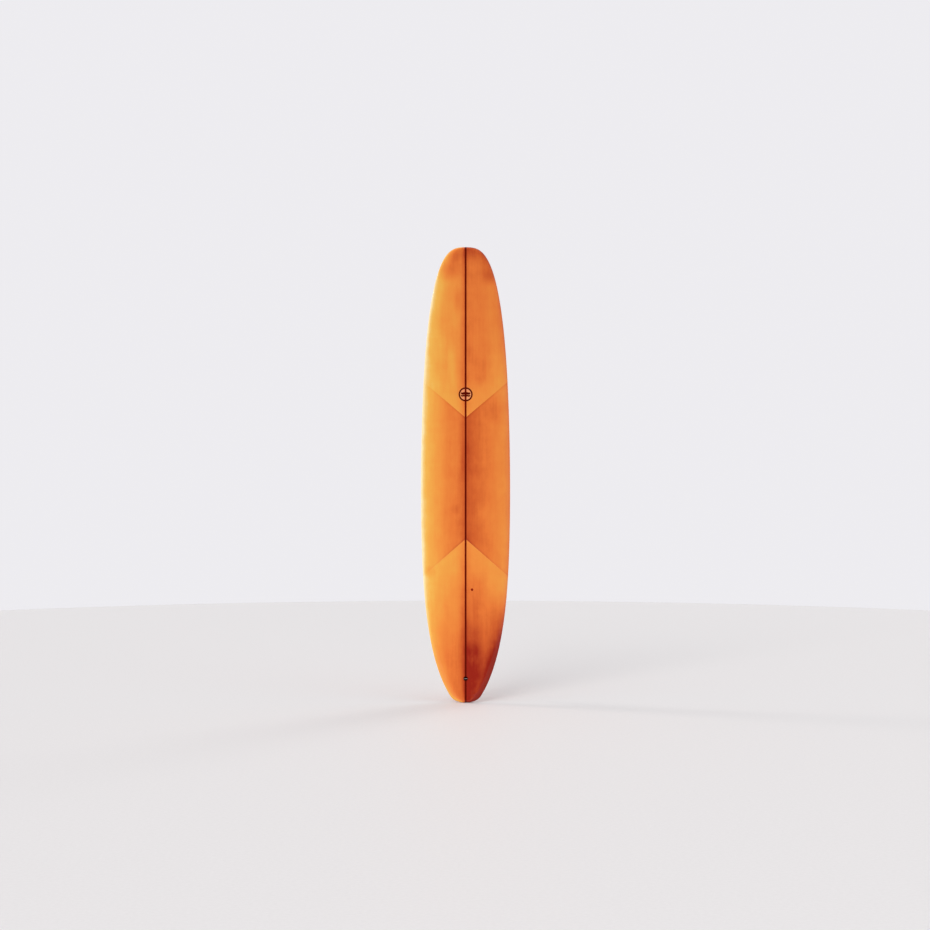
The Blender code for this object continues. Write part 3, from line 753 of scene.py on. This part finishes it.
def resin(name, patched=False, veil=0.0):
    """Polished, unevenly tinted resin over foam and stringer, with painted light in its colour: a highlight
    towards the -X rail, and shade over the +X half, beside the stringer, at the tail's +X side and towards
    the bottom's rails; a veil is thin paper under it.
    """
    s = Shader(name, 0.34, coat=0.7, coat_roughness=0.045, specular=0.08)
    share = s.math("DIVIDE", s.z, LENGTH)
    across = share_across(s, share)
    place = s.span(across, 0.5, 0.5)
    place.node.use_clamp = True
    from_middle = s.math("ABSOLUTE", s.x)
    beyond = s.ramp(s.x, *BEYOND_STRINGER)
    # Painted shade close beside the stringer
    stringer_shade = s.ramp(from_middle, *STRINGER_SHADE)
    nose = s.ramp(s.z, *TO_NOSE)
    # Deeper towards the tail, and more on the +X side, where the extra is painted shade
    tail = s.times(s.ramp(s.z, *TO_TAIL), s.span(beyond, *TAIL_DEPTH_AND_SHADE))
    # Painted shade at the +X rail near the tail
    tail_rail_shade = s.times(s.ramp(s.z, *TAIL_RAIL_SHADE_DOWN), s.ramp(across, *TAIL_RAIL_SHADE_OUT))
    parts = [s.span(s.noise(cells, detail, roughness=0.6, offset=offset), -amount, 2 * amount)
              for cells, detail, offset, amount in CLOUDS]
    uneven = s.total(*parts)
    # The curve across the board brings in a painted highlight towards the -X rail and painted shade over
    # the +X half
    tint = stained(s, s.total(s.curve(place, TINT_AND_LIGHT_ACROSS), stringer_shade, nose, tail, tail_rail_shade, uneven))
    inside = inside_patch(s, from_middle)
    fade = s.ramp(across, *LEFT_RAIL_FADE)
    if patched:
        edge = s.times(s.ramp(inside, *PATCH_LINE), fade)
        tint = s.total(tint, s.curve(place, PATCH_ACROSS), -PATCH_BASE, edge)
    else:
        thinner = s.times(s.span(beyond, *PATCH_THINNING), fade)
        tint = s.math("SUBTRACT", tint, s.times(s.ramp(inside, *TO_PATCH), thinner))
    under = behind_rail(s, share)
    above = s.math("SUBTRACT", 1.0, under)
    # Painted shade: the bottom deepens towards both rails
    rail_shade = s.ramp(s.math("ABSOLUTE", across), *BOTTOM_RAIL_SHADE)
    bottom = s.total(BOTTOM_TINT, stringer_shade, nose, s.times(tail, BOTTOM_TAIL), rail_shade)
    bottom = s.math("ADD", bottom, s.times(uneven, BOTTOM_CLOUDS))
    tint = s.total(s.times(tint, above), s.times(bottom, under))
    tint.node.use_clamp = True
    # Painted shade: a dark red over the deck's +X rail near the tail
    shade_red = s.times(s.ramp(s.z, *SHADE_RED_DOWN), s.ramp(across, *SHADE_RED_OUT))
    colour = s.mix(s.times(shade_red, above), s.colours(tint, RESIN_STOPS), PAINTED_SHADE_RED)
    colour = s.mix(veil, colour, PAPER_VEIL)
    wood = s.colours(s.noise((900, 900, 9), roughness=0.6), STRINGER_STOPS)
    s.set("Base Color", s.mix(s.ramp(from_middle, *OFF_STRINGER), colour, wood))
    s.set("Roughness", s.span(s.noise((30, 30, 12)), low=0.26, width=0.16))
    s.weave("X", threads=260.0)
    s.bump(s.noise((42, 42, 30), detail=2.0), 0.00012, 0.4, "Coat Normal")
    return s.material


def print_ink():
    """Screen ink of the emblem, under the gloss coat and slightly worn."""
    s = Shader("emblem_ink", 0.4, coat=0.4, coat_roughness=0.05, specular=0.03)
    worn = s.noise((420, 420, 420), detail=4.0, roughness=0.65)
    s.paint(worn, INK_STOPS, worn, low=0.3, width=0.2)
    s.bump(worn, 0.00002)
    return s.material


def moulded(name, colours, roughness, specular=0.5):
    """Moulded plastic with a fine grain and lighter scuffs, from its light and dark colours."""
    s = Shader(name, roughness, specular=specular)
    light, dark = colours
    fine = s.noise((900, 900, 900), detail=2.0)
    scuffs = s.noise((140, 30, 140), detail=5.0, roughness=0.7, offset=5.0)
    stops = [(0.12, dark), (0.42, light)]
    s.paint(s.times(fine, scuffs), stops, scuffs, low=roughness - 0.15, width=0.3)
    s.bump(fine, 0.00003, 0.4)
    return s.material


def steel(name, cells):
    """Stainless steel, brushed or drawn along the axis with the fewest cells a metre."""
    s = Shader(name, 0.25, metallic=1.0)
    lines = s.noise(cells, roughness=0.6)
    stains = s.noise((260, 260, 260), roughness=0.6, offset=2.0)
    s.paint(lines, STEEL_STOPS, stains, low=0.12, width=0.25)
    s.bump(lines, 0.00001, 0.4)
    return s.material


def foam():
    """Polyurethane foam: cream, with open cells where it was cut."""
    s = Shader("blank_foam", 0.9)
    cells = s.add("TexVoronoi", Vector=s.place, Scale=1400.0).outputs["Distance"]
    cloud = s.noise((12, 12, 8))
    s.paint(cloud, FOAM_STOPS, cloud, low=0.85, width=0.1)
    s.bump(cells, 0.0002, 0.6)
    return s.material


def stringer_wood():
    """Dark hardwood with its grain along the board."""
    s = Shader("stringer_wood", 0.6)
    grain = s.noise((800, 500, 8), detail=4.0, roughness=0.6)
    s.paint(grain, WOOD_STOPS, grain, low=0.5, width=0.2)
    s.bump(grain, 0.0001)
    return s.material


def fin_glass():
    """Tinted resin over layers of cloth, which show as contours where the fin's foil cuts them."""
    layers_a_metre = 4400.0
    s = Shader("fin_glass", 0.3, coat=1.0, coat_roughness=0.05, specular=0.3)
    depth = s.math("ABSOLUTE", s.x)
    layers = s.math("FRACT", s.times(depth, layers_a_metre))
    contour = s.ramp(s.math("ABSOLUTE", s.math("SUBTRACT", layers, 0.5)), 0.32, 0.5, 0.0, 0.1)
    cloud = s.noise((22, 22, 22), detail=4.0, roughness=0.6)
    tint = s.total(s.times(cloud, 0.7), s.ramp(depth, 0.001, 0.0055, 0.0, 0.2), contour)
    s.paint(tint, FIN_STOPS, cloud, low=0.22, width=0.16)
    s.weave("Y", threads=420.0)
    return s.material


def rubber():
    """Black rubber of the vent screw's seal, dusty."""
    s = Shader("seal_rubber", 0.7)
    dust = s.noise((700, 700, 700))
    s.paint(dust, RUBBER_STOPS, dust, low=0.6, width=0.2)
    s.bump(dust, 0.00002)
    return s.material


# --- The board's skins ---


def deck_glass(material, pockets):
    """The deck's cloth and resin inside the lap line."""
    rows = rows_between(LAP, LENGTH - LAP, True, True)[:, None]
    x = spread(HALF_COLUMNS)[None, :] * lap_half(rows)
    z = np.broadcast_to(rows, x.shape)
    mesh = skin_mesh(on_deck(x, z), on_deck(x, z, -GLASS_DEPTH))
    mesh = carve(mesh, *pockets)
    piece("deck_glass", mesh, "board", "deck_laminate", material)


def bottom_turns(lap, rows):
    """Angles round the section at each row, from lap line to lap line."""
    quarter = math.pi / 2
    lap_turn = deck_turn(lap, rows)
    first = lap_turn + (quarter - lap_turn) * LAP_COLUMNS[None, :]
    to_middle = np.sin(np.linspace(1, 0, BOTTOM_COLUMNS) * quarter) ** (BOTTOM_POWERS[0] / 2)
    half_under = math.pi - np.arcsin(to_middle)
    under = np.concatenate([half_under, math.tau - half_under[:-1][::-1]])
    under = np.broadcast_to(under[None, :], (len(rows), len(under)))
    return np.concatenate([first, under, math.tau - first[:, ::-1]], axis=1)


def bottom_glass(material, pockets):
    """The bottom's cloth and resin, round the rails and up to the deck's lap line."""
    tail = rows_between(0, LAP, True, False)[:-1]
    nose = rows_between(LENGTH - LAP, LENGTH, False, True)[1:]
    rows = np.concatenate([tail, rows_between(LAP, LENGTH - LAP, True, True), nose])[:, None]
    lap = lap_half(rows)
    turn = bottom_turns(lap, rows)
    z = np.broadcast_to(rows, turn.shape)
    points, out = section_point(turn, z), section_normal(turn, z)
    x = points[..., 0]
    ease = np.clip(np.cos(turn) / DECK_EASE, 0, 1)
    waves = ripple(x, z, *BOTTOM_WAVES)
    rise = np.where(np.cos(turn) > 0, deck_rise(x, z) * ease + waves * (1 - ease), waves)
    depth = GLASS_DEPTH * np.minimum(1, thickness(z) / THIN_HULL) + GAP
    outer, inner = points + out * rise[..., None], points + out * (rise - depth)[..., None]
    mesh = skin_mesh(outer, inner, side_walls=lap[:, 0] > 0, end_walls=False)
    mesh = carve(mesh, *pockets)
    piece("bottom_glass", mesh, "board", "bottom_laminate", material)


def deck_patch(material):
    """The V-ended patch of extra cloth, its edges feathered down to the deck."""
    across = spread(HALF_COLUMNS)[None, :] * PATCH_RAIL_SHARE
    share = np.concatenate([PATCH_EDGE_ROWS, PATCH_ROWS, 1 - PATCH_EDGE_ROWS[::-1]])[:, None]
    z = PATCH_LOW_APEX + (PATCH_TOP_APEX - PATCH_LOW_APEX) * share + 0 * across
    for _ in range(5):  # the V's height and the width there depend on each other
        off_middle = np.abs(across) * half_width(z) / (WIDTH / 2)
        low = PATCH_LOW_APEX + (PATCH_LOW_RAIL - PATCH_LOW_APEX) * off_middle
        top = PATCH_TOP_APEX + (PATCH_TOP_RAIL - PATCH_TOP_APEX) * off_middle
        z = low + (top - low) * share
    x = across * half_width(z)
    from_edge = np.minimum(z - low, top - z)
    from_rail = (PATCH_RAIL_SHARE - np.abs(across)) * half_width(z) * RAIL_STEEPNESS
    ease = np.clip(np.minimum(from_edge, from_rail) / PATCH_FEATHER, 0, 1)
    lift = PATCH_EDGE_RISE + (PATCH_RISE - PATCH_EDGE_RISE) * ease * ease * (3 - 2 * ease)
    mesh = skin_mesh(on_deck(x, z, lift), on_deck(x, z, PATCH_BOTTOM))
    piece("deck_patch_glass", mesh, "board", "deck_patch", material)


def printed(name, x, z, layer, material, side_walls=None):
    """A piece of the emblem: a thin layer over the deck."""
    low, high = layer
    mesh = skin_mesh(on_deck(x, z, high), on_deck(x, z, low), side_walls=side_walls)
    piece(name, mesh, "board", "deck_badge", material)


def emblem_disc(name, inner_radius, outer_radius, layer, material):
    """A disc or ring of the emblem."""
    radii = np.linspace(inner_radius, outer_radius, 7)[:, None]
    turns = np.linspace(0, math.tau, 121)[None, :]
    x, z = radii * np.cos(turns), BADGE_HEIGHT + radii * np.sin(turns)
    printed(name, x, z, layer, material, side_walls=np.zeros(len(radii), bool))


def emblem_wave(name, top, low, material):
    """A wave with rounded crests, tapered at both ends."""
    u = np.linspace(-1, 1, 91)[None, :]
    v = np.linspace(0, 1, 7)[:, None]
    crest = np.abs(np.sin(WAVE_CRESTS * math.pi * (u + 1)))
    taper = np.sqrt(1 - np.abs(u) ** WAVE_TAPER)
    high, bottom, middle = top - WAVE_TOP_CREST * crest, low - WAVE_LOW_CREST * crest, (top + low) / 2
    z = BADGE_HEIGHT + middle + (bottom + (high - bottom) * v - middle) * taper
    printed(name, np.broadcast_to(u * WAVE_HALF_SPAN, z.shape), z, INK_LAYER, material)


def emblem(ink, paper):
    """A ring round a pair of waves, printed on thin paper under the gloss."""
    emblem_disc("emblem_paper", 0.0, BADGE_RADIUS, PAPER_LAYER, paper)
    emblem_disc("emblem_ring", BADGE_RADIUS - EMBLEM_RING, BADGE_RADIUS - EMBLEM_MARGIN, INK_LAYER, ink)
    for number, (top, low) in enumerate(EMBLEM_WAVES):
        emblem_wave(f"emblem_wave_{number + 1}", top, low, ink)


# --- The fittings on the deck ---


def leash_cup(place, plastic):
    """A turned cup with a tapered floor."""
    lip, rounding, taper, taper_depth = 0.0008, 0.0006, 0.7, 0.6
    profile = [
        (0, -CUP_FLOOR), (CUP_BORE * taper, -CUP_FLOOR), (CUP_BORE, -CUP_FLOOR * taper_depth),
        (CUP_BORE, -lip), (CUP_BORE + lip, 0), (CUP_RADIUS - lip, 0),
        (CUP_RADIUS, -lip), (CUP_RADIUS, -CUP_DEPTH), (0, -CUP_DEPTH),
    ]
    cup = turned_mesh(fillet(profile, rounding, steps=5), steps=96)
    piece("leash_cup_body", cup, "board", "leash_cup", plastic, place)


def leash_bar(place, metal):
    """The steel bar across the cup."""
    half, rounding = PIN_LENGTH / 2, 0.0004
    across = at(place, z=-PIN_DEPTH) @ Matrix.Rotation(math.pi / 2, 4, "Y")
    bar = turned_mesh(fillet(rod(PIN_RADIUS, -half, half), rounding), steps=40)
    piece("leash_bar", bar, "board", "leash_pin", metal, across)


def vent_body(place, plastic):
    """The vent's threaded insert, with a recess for the screw's head."""
    edge, leak, rounding = 0.0006, 0.0015, 0.0002
    profile = [
        (VENT_RECESS, 0), (VENT_RADIUS - edge, 0), (VENT_RADIUS, -edge),
        (VENT_RADIUS, -VENT_DEPTH), (leak, -VENT_DEPTH), (leak, -VENT_DEPTH + leak),
        (VENT_BORE, -VENT_DEPTH + leak), (VENT_BORE, -VENT_RECESS_DEPTH), (VENT_RECESS, -VENT_RECESS_DEPTH),
    ]
    body = turned_mesh(fillet(profile, rounding, steps=3, closed=True), closed=True)
    piece("vent_body", body, "board", "vent_housing", plastic, place)


def vent_seal(place, material):
    """The ring that seals the vent screw's head."""
    sides = 20
    turns = [math.tau * k / sides for k in range(sides)]
    ring = [(RING_RADIUS + RING_SECTION * math.cos(t), RING_SECTION * math.sin(t)) for t in turns]
    mesh = turned_mesh(ring, closed=True)
    piece("vent_seal_ring", mesh, "vent_seal", "vent_o_ring", material, place)


def vent_plug(place, height, plastic):
    """The vent's slotted screw."""
    rounding, half_slot, over_head = 0.00035, 0.0008, 0.002
    head, shank = -GAP - height, VENT_BORE - GAP
    profile = fillet([(0, head), (VENT_HEAD, head), (VENT_HEAD, 0), (shank, 0)], rounding)
    profile += thread(shank, 0, VENT_THREAD_END, VENT_PITCH) + [Vector((0, VENT_SCREW_END))]
    screw = slotted(turned_mesh(profile), VENT_HEAD, half_slot, head, head + over_head)
    piece("vent_plug", screw, "vent_screw", "vent_screw", plastic, at(place, z=height))


# --- The fin and its box ---


def slot_loop(lip, grow, height):
    """One loop of the box's slot, with the wider entry at the tail end."""
    slot_end, entry = SLOT_LENGTH / 2 + grow, ENTRY_LENGTH - SLOT_LENGTH / 2 + grow
    wide, narrow = GROOVE_WIDTH / 2 + grow, lip + grow
    points = [(wide, -slot_end), (wide, entry), (narrow, entry), (narrow, slot_end)]
    points += [(-x, y) for x, y in reversed(points)]
    return [(x, y, height) for x, y in points]


def fin_box(place, plastic):
    """A moulded channel: a slot between two lips over a wider groove."""
    edge, flare = 0.0005, 0.0004
    end, lip, wide = BOX_LENGTH / 2, SLOT_WIDTH / 2, GROOVE_WIDTH / 2
    outline = fillet(rectangle(BOX_WIDTH / 2, -end, end), BOX_CORNER, 8, closed=True)
    inset = rectangle(BOX_WIDTH / 2 - edge, -end + edge, end - edge)
    inset = fillet(inset, BOX_CORNER - edge, 8, closed=True)
    walls = [(inset, 0), (outline, -edge), (outline, -BOX_DEPTH)]
    channel = [(lip, flare, 0), (lip, 0, -flare), (lip, 0, -GROOVE_TOP), (wide, 0, -GROOVE_TOP),
               (wide, 0, -GROOVE_FLOOR), (lip, 0, -GROOVE_FLOOR), (lip, 0, -SLOT_DEPTH)]
    bm = bmesh.new()
    outer = loft(bm, [[(x, y, height) for x, y in line] for line, height in walls], cap_last=True)
    inner = loft(bm, [slot_loop(*level) for level in channel], cap_last=True)
    rims = [bm.edges.get((loop[k - 1], loop[k])) for loop in (outer[0], inner[0]) for k in range(len(loop))]
    bmesh.ops.triangle_fill(bm, edges=rims, use_beauty=True)
    mesh = tidy_mesh(bm, BLOCK_SHARP)
    piece("fin_box_channel", mesh, "board", "fin_box", plastic, place)


def blade_ring(share, count=72):
    """The fin's section at a share of its depth, from the leading edge round and back."""
    rounding = math.sqrt(1 - share**TIP_POWER)
    chord = FIN_CHORD * (1 - BLADE_TAPER * share**TAPER_POWER) * rounding
    middle = -FIN_RAKE * share**RAKE_POWER
    thick = FIN_THICKNESS * (1 - BLADE_THINNING * share) * math.sqrt(rounding)
    points = []
    for k in range(count):
        turn = math.tau * k / count
        fore, side = math.cos(turn), math.sin(turn)
        foil = math.copysign(abs(side) ** FOIL_POWER, side) * (1 + FOIL_LEAD * fore)
        points.append((thick / 2 * foil, middle + chord / 2 * fore, FIN_LIFT + share * FIN_DEPTH))
    return points


def fin_blade(place, glass):
    bm = bmesh.new()
    shares = [math.sin(math.pi / 2 * k / BLADE_RINGS) for k in range(BLADE_RINGS)] + [1.0]
    loft(bm, [blade_ring(share) for share in shares], cap_first=True)
    blade = tidy_mesh(bm, BLADE_SHARP)
    blade.transform(place)
    piece("fin_blade", blade, "fin", "fin", glass)


def fin_tab(place, pin_place, glass):
    """The tab that runs in the box, bored for the roll pin and the screw."""
    chamfer, corner, sink = 0.0002, 0.006, 0.0001
    end, half, root = TAB_LENGTH / 2, SLOT_WIDTH / 2 - GAP, FIN_LIFT - sink
    outline = [
        (-end, root), (-end, -TAB_DEPTH / 2), (-end + corner, -TAB_DEPTH),
        (end, -TAB_DEPTH), (end, -TONGUE_FLOOR), (end + TONGUE_LENGTH, -TONGUE_FLOOR),
        (end + TONGUE_LENGTH, -TONGUE_TOP), (end, -TONGUE_TOP), (end, root),
    ]
    tab = block_mesh(outline, -half, half, chamfer)
    on_edge = Matrix(((0, 0, 1, 0), (1, 0, 0, 0), (0, 1, 0, 0), (0, 0, 0, 1)))
    tab.transform(on_edge)
    bore = turned_mesh(rod(ROLL_PIN_RADIUS + BORE_GAP, -BORE_REACH, BORE_REACH), steps=40)
    hole = turned_mesh(rod(SCREW_HOLE, -HOLE_REACH, HOLE_REACH), steps=40)
    hole_place = Matrix.Translation((0, end + TONGUE_LENGTH / 2, 0))
    tab = carve(tab, (bore, pin_place), (hole, hole_place))
    tab.transform(place)
    piece("fin_tab", tab, "fin", "fin", glass)


def roll_pin(place, metal):
    """The hollow pin through the tab, which hangs in the groove."""
    reach, rounding = ROLL_PIN_LENGTH / 2, 0.0003
    inner, outer = ROLL_PIN_BORE, ROLL_PIN_RADIUS
    profile = [(inner, reach), (outer, reach), (outer, -reach), (inner, -reach)]
    pin = turned_mesh(fillet(profile, rounding, 3, closed=True), steps=48, closed=True)
    piece("roll_pin", pin, "fin", "fin_roll_pin", metal, place)


def fin_bolt(place, metal):
    """The slotted screw through the tongue."""
    rounding, half_slot, top = 0.0006, 0.0006, 0.01
    head = [(0, SCREW_HEAD_HEIGHT), (SCREW_HEAD, SCREW_HEAD_HEIGHT), (SCREW_HEAD, 0), (SCREW_RADIUS, 0)]
    profile = fillet(head, rounding)
    profile += thread(SCREW_RADIUS, 0, -SCREW_LENGTH, FIN_PITCH) + [Vector((0, -SCREW_LENGTH))]
    screw = turned_mesh(profile, steps=64)
    screw = slotted(screw, SCREW_HEAD, half_slot, SCREW_HEAD_HEIGHT, top)
    piece("fin_bolt", screw, "fin_screw", "fin_screw", metal, place)


def fin_nut_plate(place, metal):
    """The square plate that the screw pulls up in the groove."""
    corner, chamfer = 0.001, 0.0003
    half, wide = PLATE_LENGTH / 2, GROOVE_WIDTH / 2 - GAP
    outline = fillet(rectangle(wide, -half, half), corner, 5, closed=True)
    plate = block_mesh(outline, -PLATE_THICKNESS, 0, chamfer)
    hole = turned_mesh(rod(SCREW_HOLE, -HOLE_REACH, HOLE_REACH), steps=40)
    plate = carve(plate, (hole, Matrix()))
    piece("fin_nut_plate", plate, "fin_plate", "fin_plate", metal, place)


# --- The stage ---


def floor():
    """A wide pale disc on which the board's tail stands."""
    bm = bmesh.new()
    turns = np.linspace(0, math.tau, FLOOR_SIDES + 1)[:-1]
    radii = [FLOOR_RADIUS * share for share in FLOOR_RINGS]
    loft(bm, [[(r * math.cos(t), r * math.sin(t), 0) for t in turns] for r in radii], cap_last=True)
    mesh = tidy_mesh(bm)
    s = Shader("floor_paint", 0.6, specular=0.2)
    s.set("Base Color", s.colours(s.noise((60, 60, 60), detail=4.0, roughness=0.6), FLOOR_STOPS))
    mesh.materials.append(s.material)
    new_object("floor", mesh)


def sun(name, toward, strength, angle, colour, glossy):
    """A distant soft light that shines from one direction."""
    light = bpy.data.lights.new(name, "SUN")
    light.energy = strength
    light.angle = math.radians(angle)
    light.color = colour
    obj = new_object(name, light)
    obj.rotation_euler = Vector(toward).to_track_quat("Z", "Y").to_euler()
    obj.visible_glossy = glossy


def room():
    """Light from all round: dim in front, pale at the sides, with a tall soft strip behind."""
    world = bpy.data.worlds.new("room")
    bpy.context.scene.world = world
    world.use_nodes = True
    s = Nodes(world.node_tree, "Generated")
    light = s.mix(s.ramp(s.y, *FRONT_TO_ROOM), FRONT_LIGHT, ROOM_LIGHT)
    light = s.mix(s.ramp(s.y, *ROOM_TO_BACK), light, BACK_LIGHT)
    from_strip = s.math("MULTIPLY_ADD", s.x, STRIP_ACROSS[0], s.times(s.y, STRIP_ACROSS[1]))
    on_strip = s.ramp(s.math("ABSOLUTE", from_strip), *STRIP_EDGE)
    light = s.mix(s.times(on_strip, s.ramp(s.y, *STRIP_BEHIND)), light, STRIP_LIGHT)
    seen = s.add("LightPath").outputs["Is Camera Ray"]
    s.feed(s.tree.nodes["Background"].inputs["Color"], s.mix(seen, light, BACKDROP))


def camera():
    """Square on to the deck and level, from far away."""
    data = bpy.data.cameras.new("camera")
    data.lens, data.sensor_width = CAMERA_LENS, CAMERA_SENSOR
    data.clip_end = 100
    obj = new_object("camera", data)
    obj.location = CAMERA_PLACE
    obj.rotation_euler = (math.pi / 2, 0, 0)
    bpy.context.scene.camera = obj


# --- The whole scene ---


def skins(plug_place, vent_place, box_place):
    """The glass, pocketed for the fittings, with the patch and the emblem."""
    plug_hole = turned_mesh(rod(CUP_RADIUS + FIT, *POCKET), steps=96)
    vent_hole = turned_mesh(rod(VENT_RADIUS + FIT, *POCKET))
    end = BOX_LENGTH / 2 + FIT
    outline = fillet(rectangle(BOX_WIDTH / 2 + FIT, -end, end), BOX_CORNER + FIT, 8, closed=True)
    box_hole = block_mesh(outline, *POCKET, CUTTER_EDGE)
    deck_glass(resin("deck_resin_tint_and_painted_light"), [(plug_hole, plug_place), (vent_hole, vent_place)])
    bottom_glass(resin("bottom_resin_tint_and_painted_light"), [(box_hole, box_place)])
    deck_patch(resin("patch_resin_tint_and_painted_light", patched=True))
    emblem(print_ink(), resin("paper_resin_tint_and_painted_light", veil=0.22))


def deck_fittings(plug_place, vent_place, metal):
    """The leash plug and the vent."""
    leash_cup(plug_place, moulded("cup_moulding", CUP_COLOURS, 0.45, specular=0.1))
    leash_bar(plug_place, metal)
    vent_body(vent_place, moulded("vent_moulding", VENT_COLOURS, 0.5, specular=0.1))
    seal_height = -VENT_RECESS_DEPTH + GAP + RING_SECTION
    vent_seal(at(vent_place, z=seal_height), rubber())
    plastic = moulded("vent_plug_moulding", VENT_PLUG_COLOURS, 0.5, specular=0.1)
    vent_plug(vent_place, seal_height + RING_SECTION + GAP, plastic)


def fin_fittings(box_place, metal):
    """The fin box, the fin and what holds it."""
    fin_box(box_place, moulded("box_moulding", BOX_COLOURS, 0.5))
    fin_place = at(box_place, y=FIN_OFFSET)
    pin_place = Matrix.Translation((0, ROLL_PIN_INSET - TAB_LENGTH / 2, -(GROOVE_TOP + GROOVE_FLOOR) / 2))
    pin_place = pin_place @ Matrix.Rotation(math.pi / 2, 4, "Y")
    glass = fin_glass()
    fin_blade(fin_place, glass)
    fin_tab(fin_place, pin_place, glass)
    roll_pin(fin_place @ pin_place, metal)
    turned_steel = steel("steel_turned", (1800, 1800, 400))
    screw_y = TAB_LENGTH / 2 + TONGUE_LENGTH / 2
    fin_bolt(at(fin_place, y=screw_y, z=-TONGUE_TOP + GAP), turned_steel)
    fin_nut_plate(at(fin_place, y=screw_y, z=-GROOVE_TOP - GAP), turned_steel)


def core():
    """The CAD model's foam and stringer, in materials of their own."""
    blank = foam()
    for node, material in (("foam_left", blank), ("foam_right", blank), ("stringer", stringer_wood())):
        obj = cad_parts[node]
        obj.data.materials.clear()
        obj.data.materials.append(material)
        for slot in obj.material_slots:
            slot.material = material


def main():
    plug_place = seat(0, LEASH_HEIGHT, -1, PROUD)
    vent_place = seat(VENT_ACROSS, VENT_HEIGHT, -1, PROUD)
    box_place = seat(0, BOX_HEIGHT, 1, -BOX_SINK)
    skins(plug_place, vent_place, box_place)
    drawn_steel = steel("steel_drawn", (2600, 2600, 30))
    deck_fittings(plug_place, vent_place, drawn_steel)
    fin_fittings(box_place, drawn_steel)
    core()
    floor()
    room()
    for light in SUNS:
        sun(*light)
    camera()
    bpy.context.scene.view_settings.view_transform = "Standard"


main()
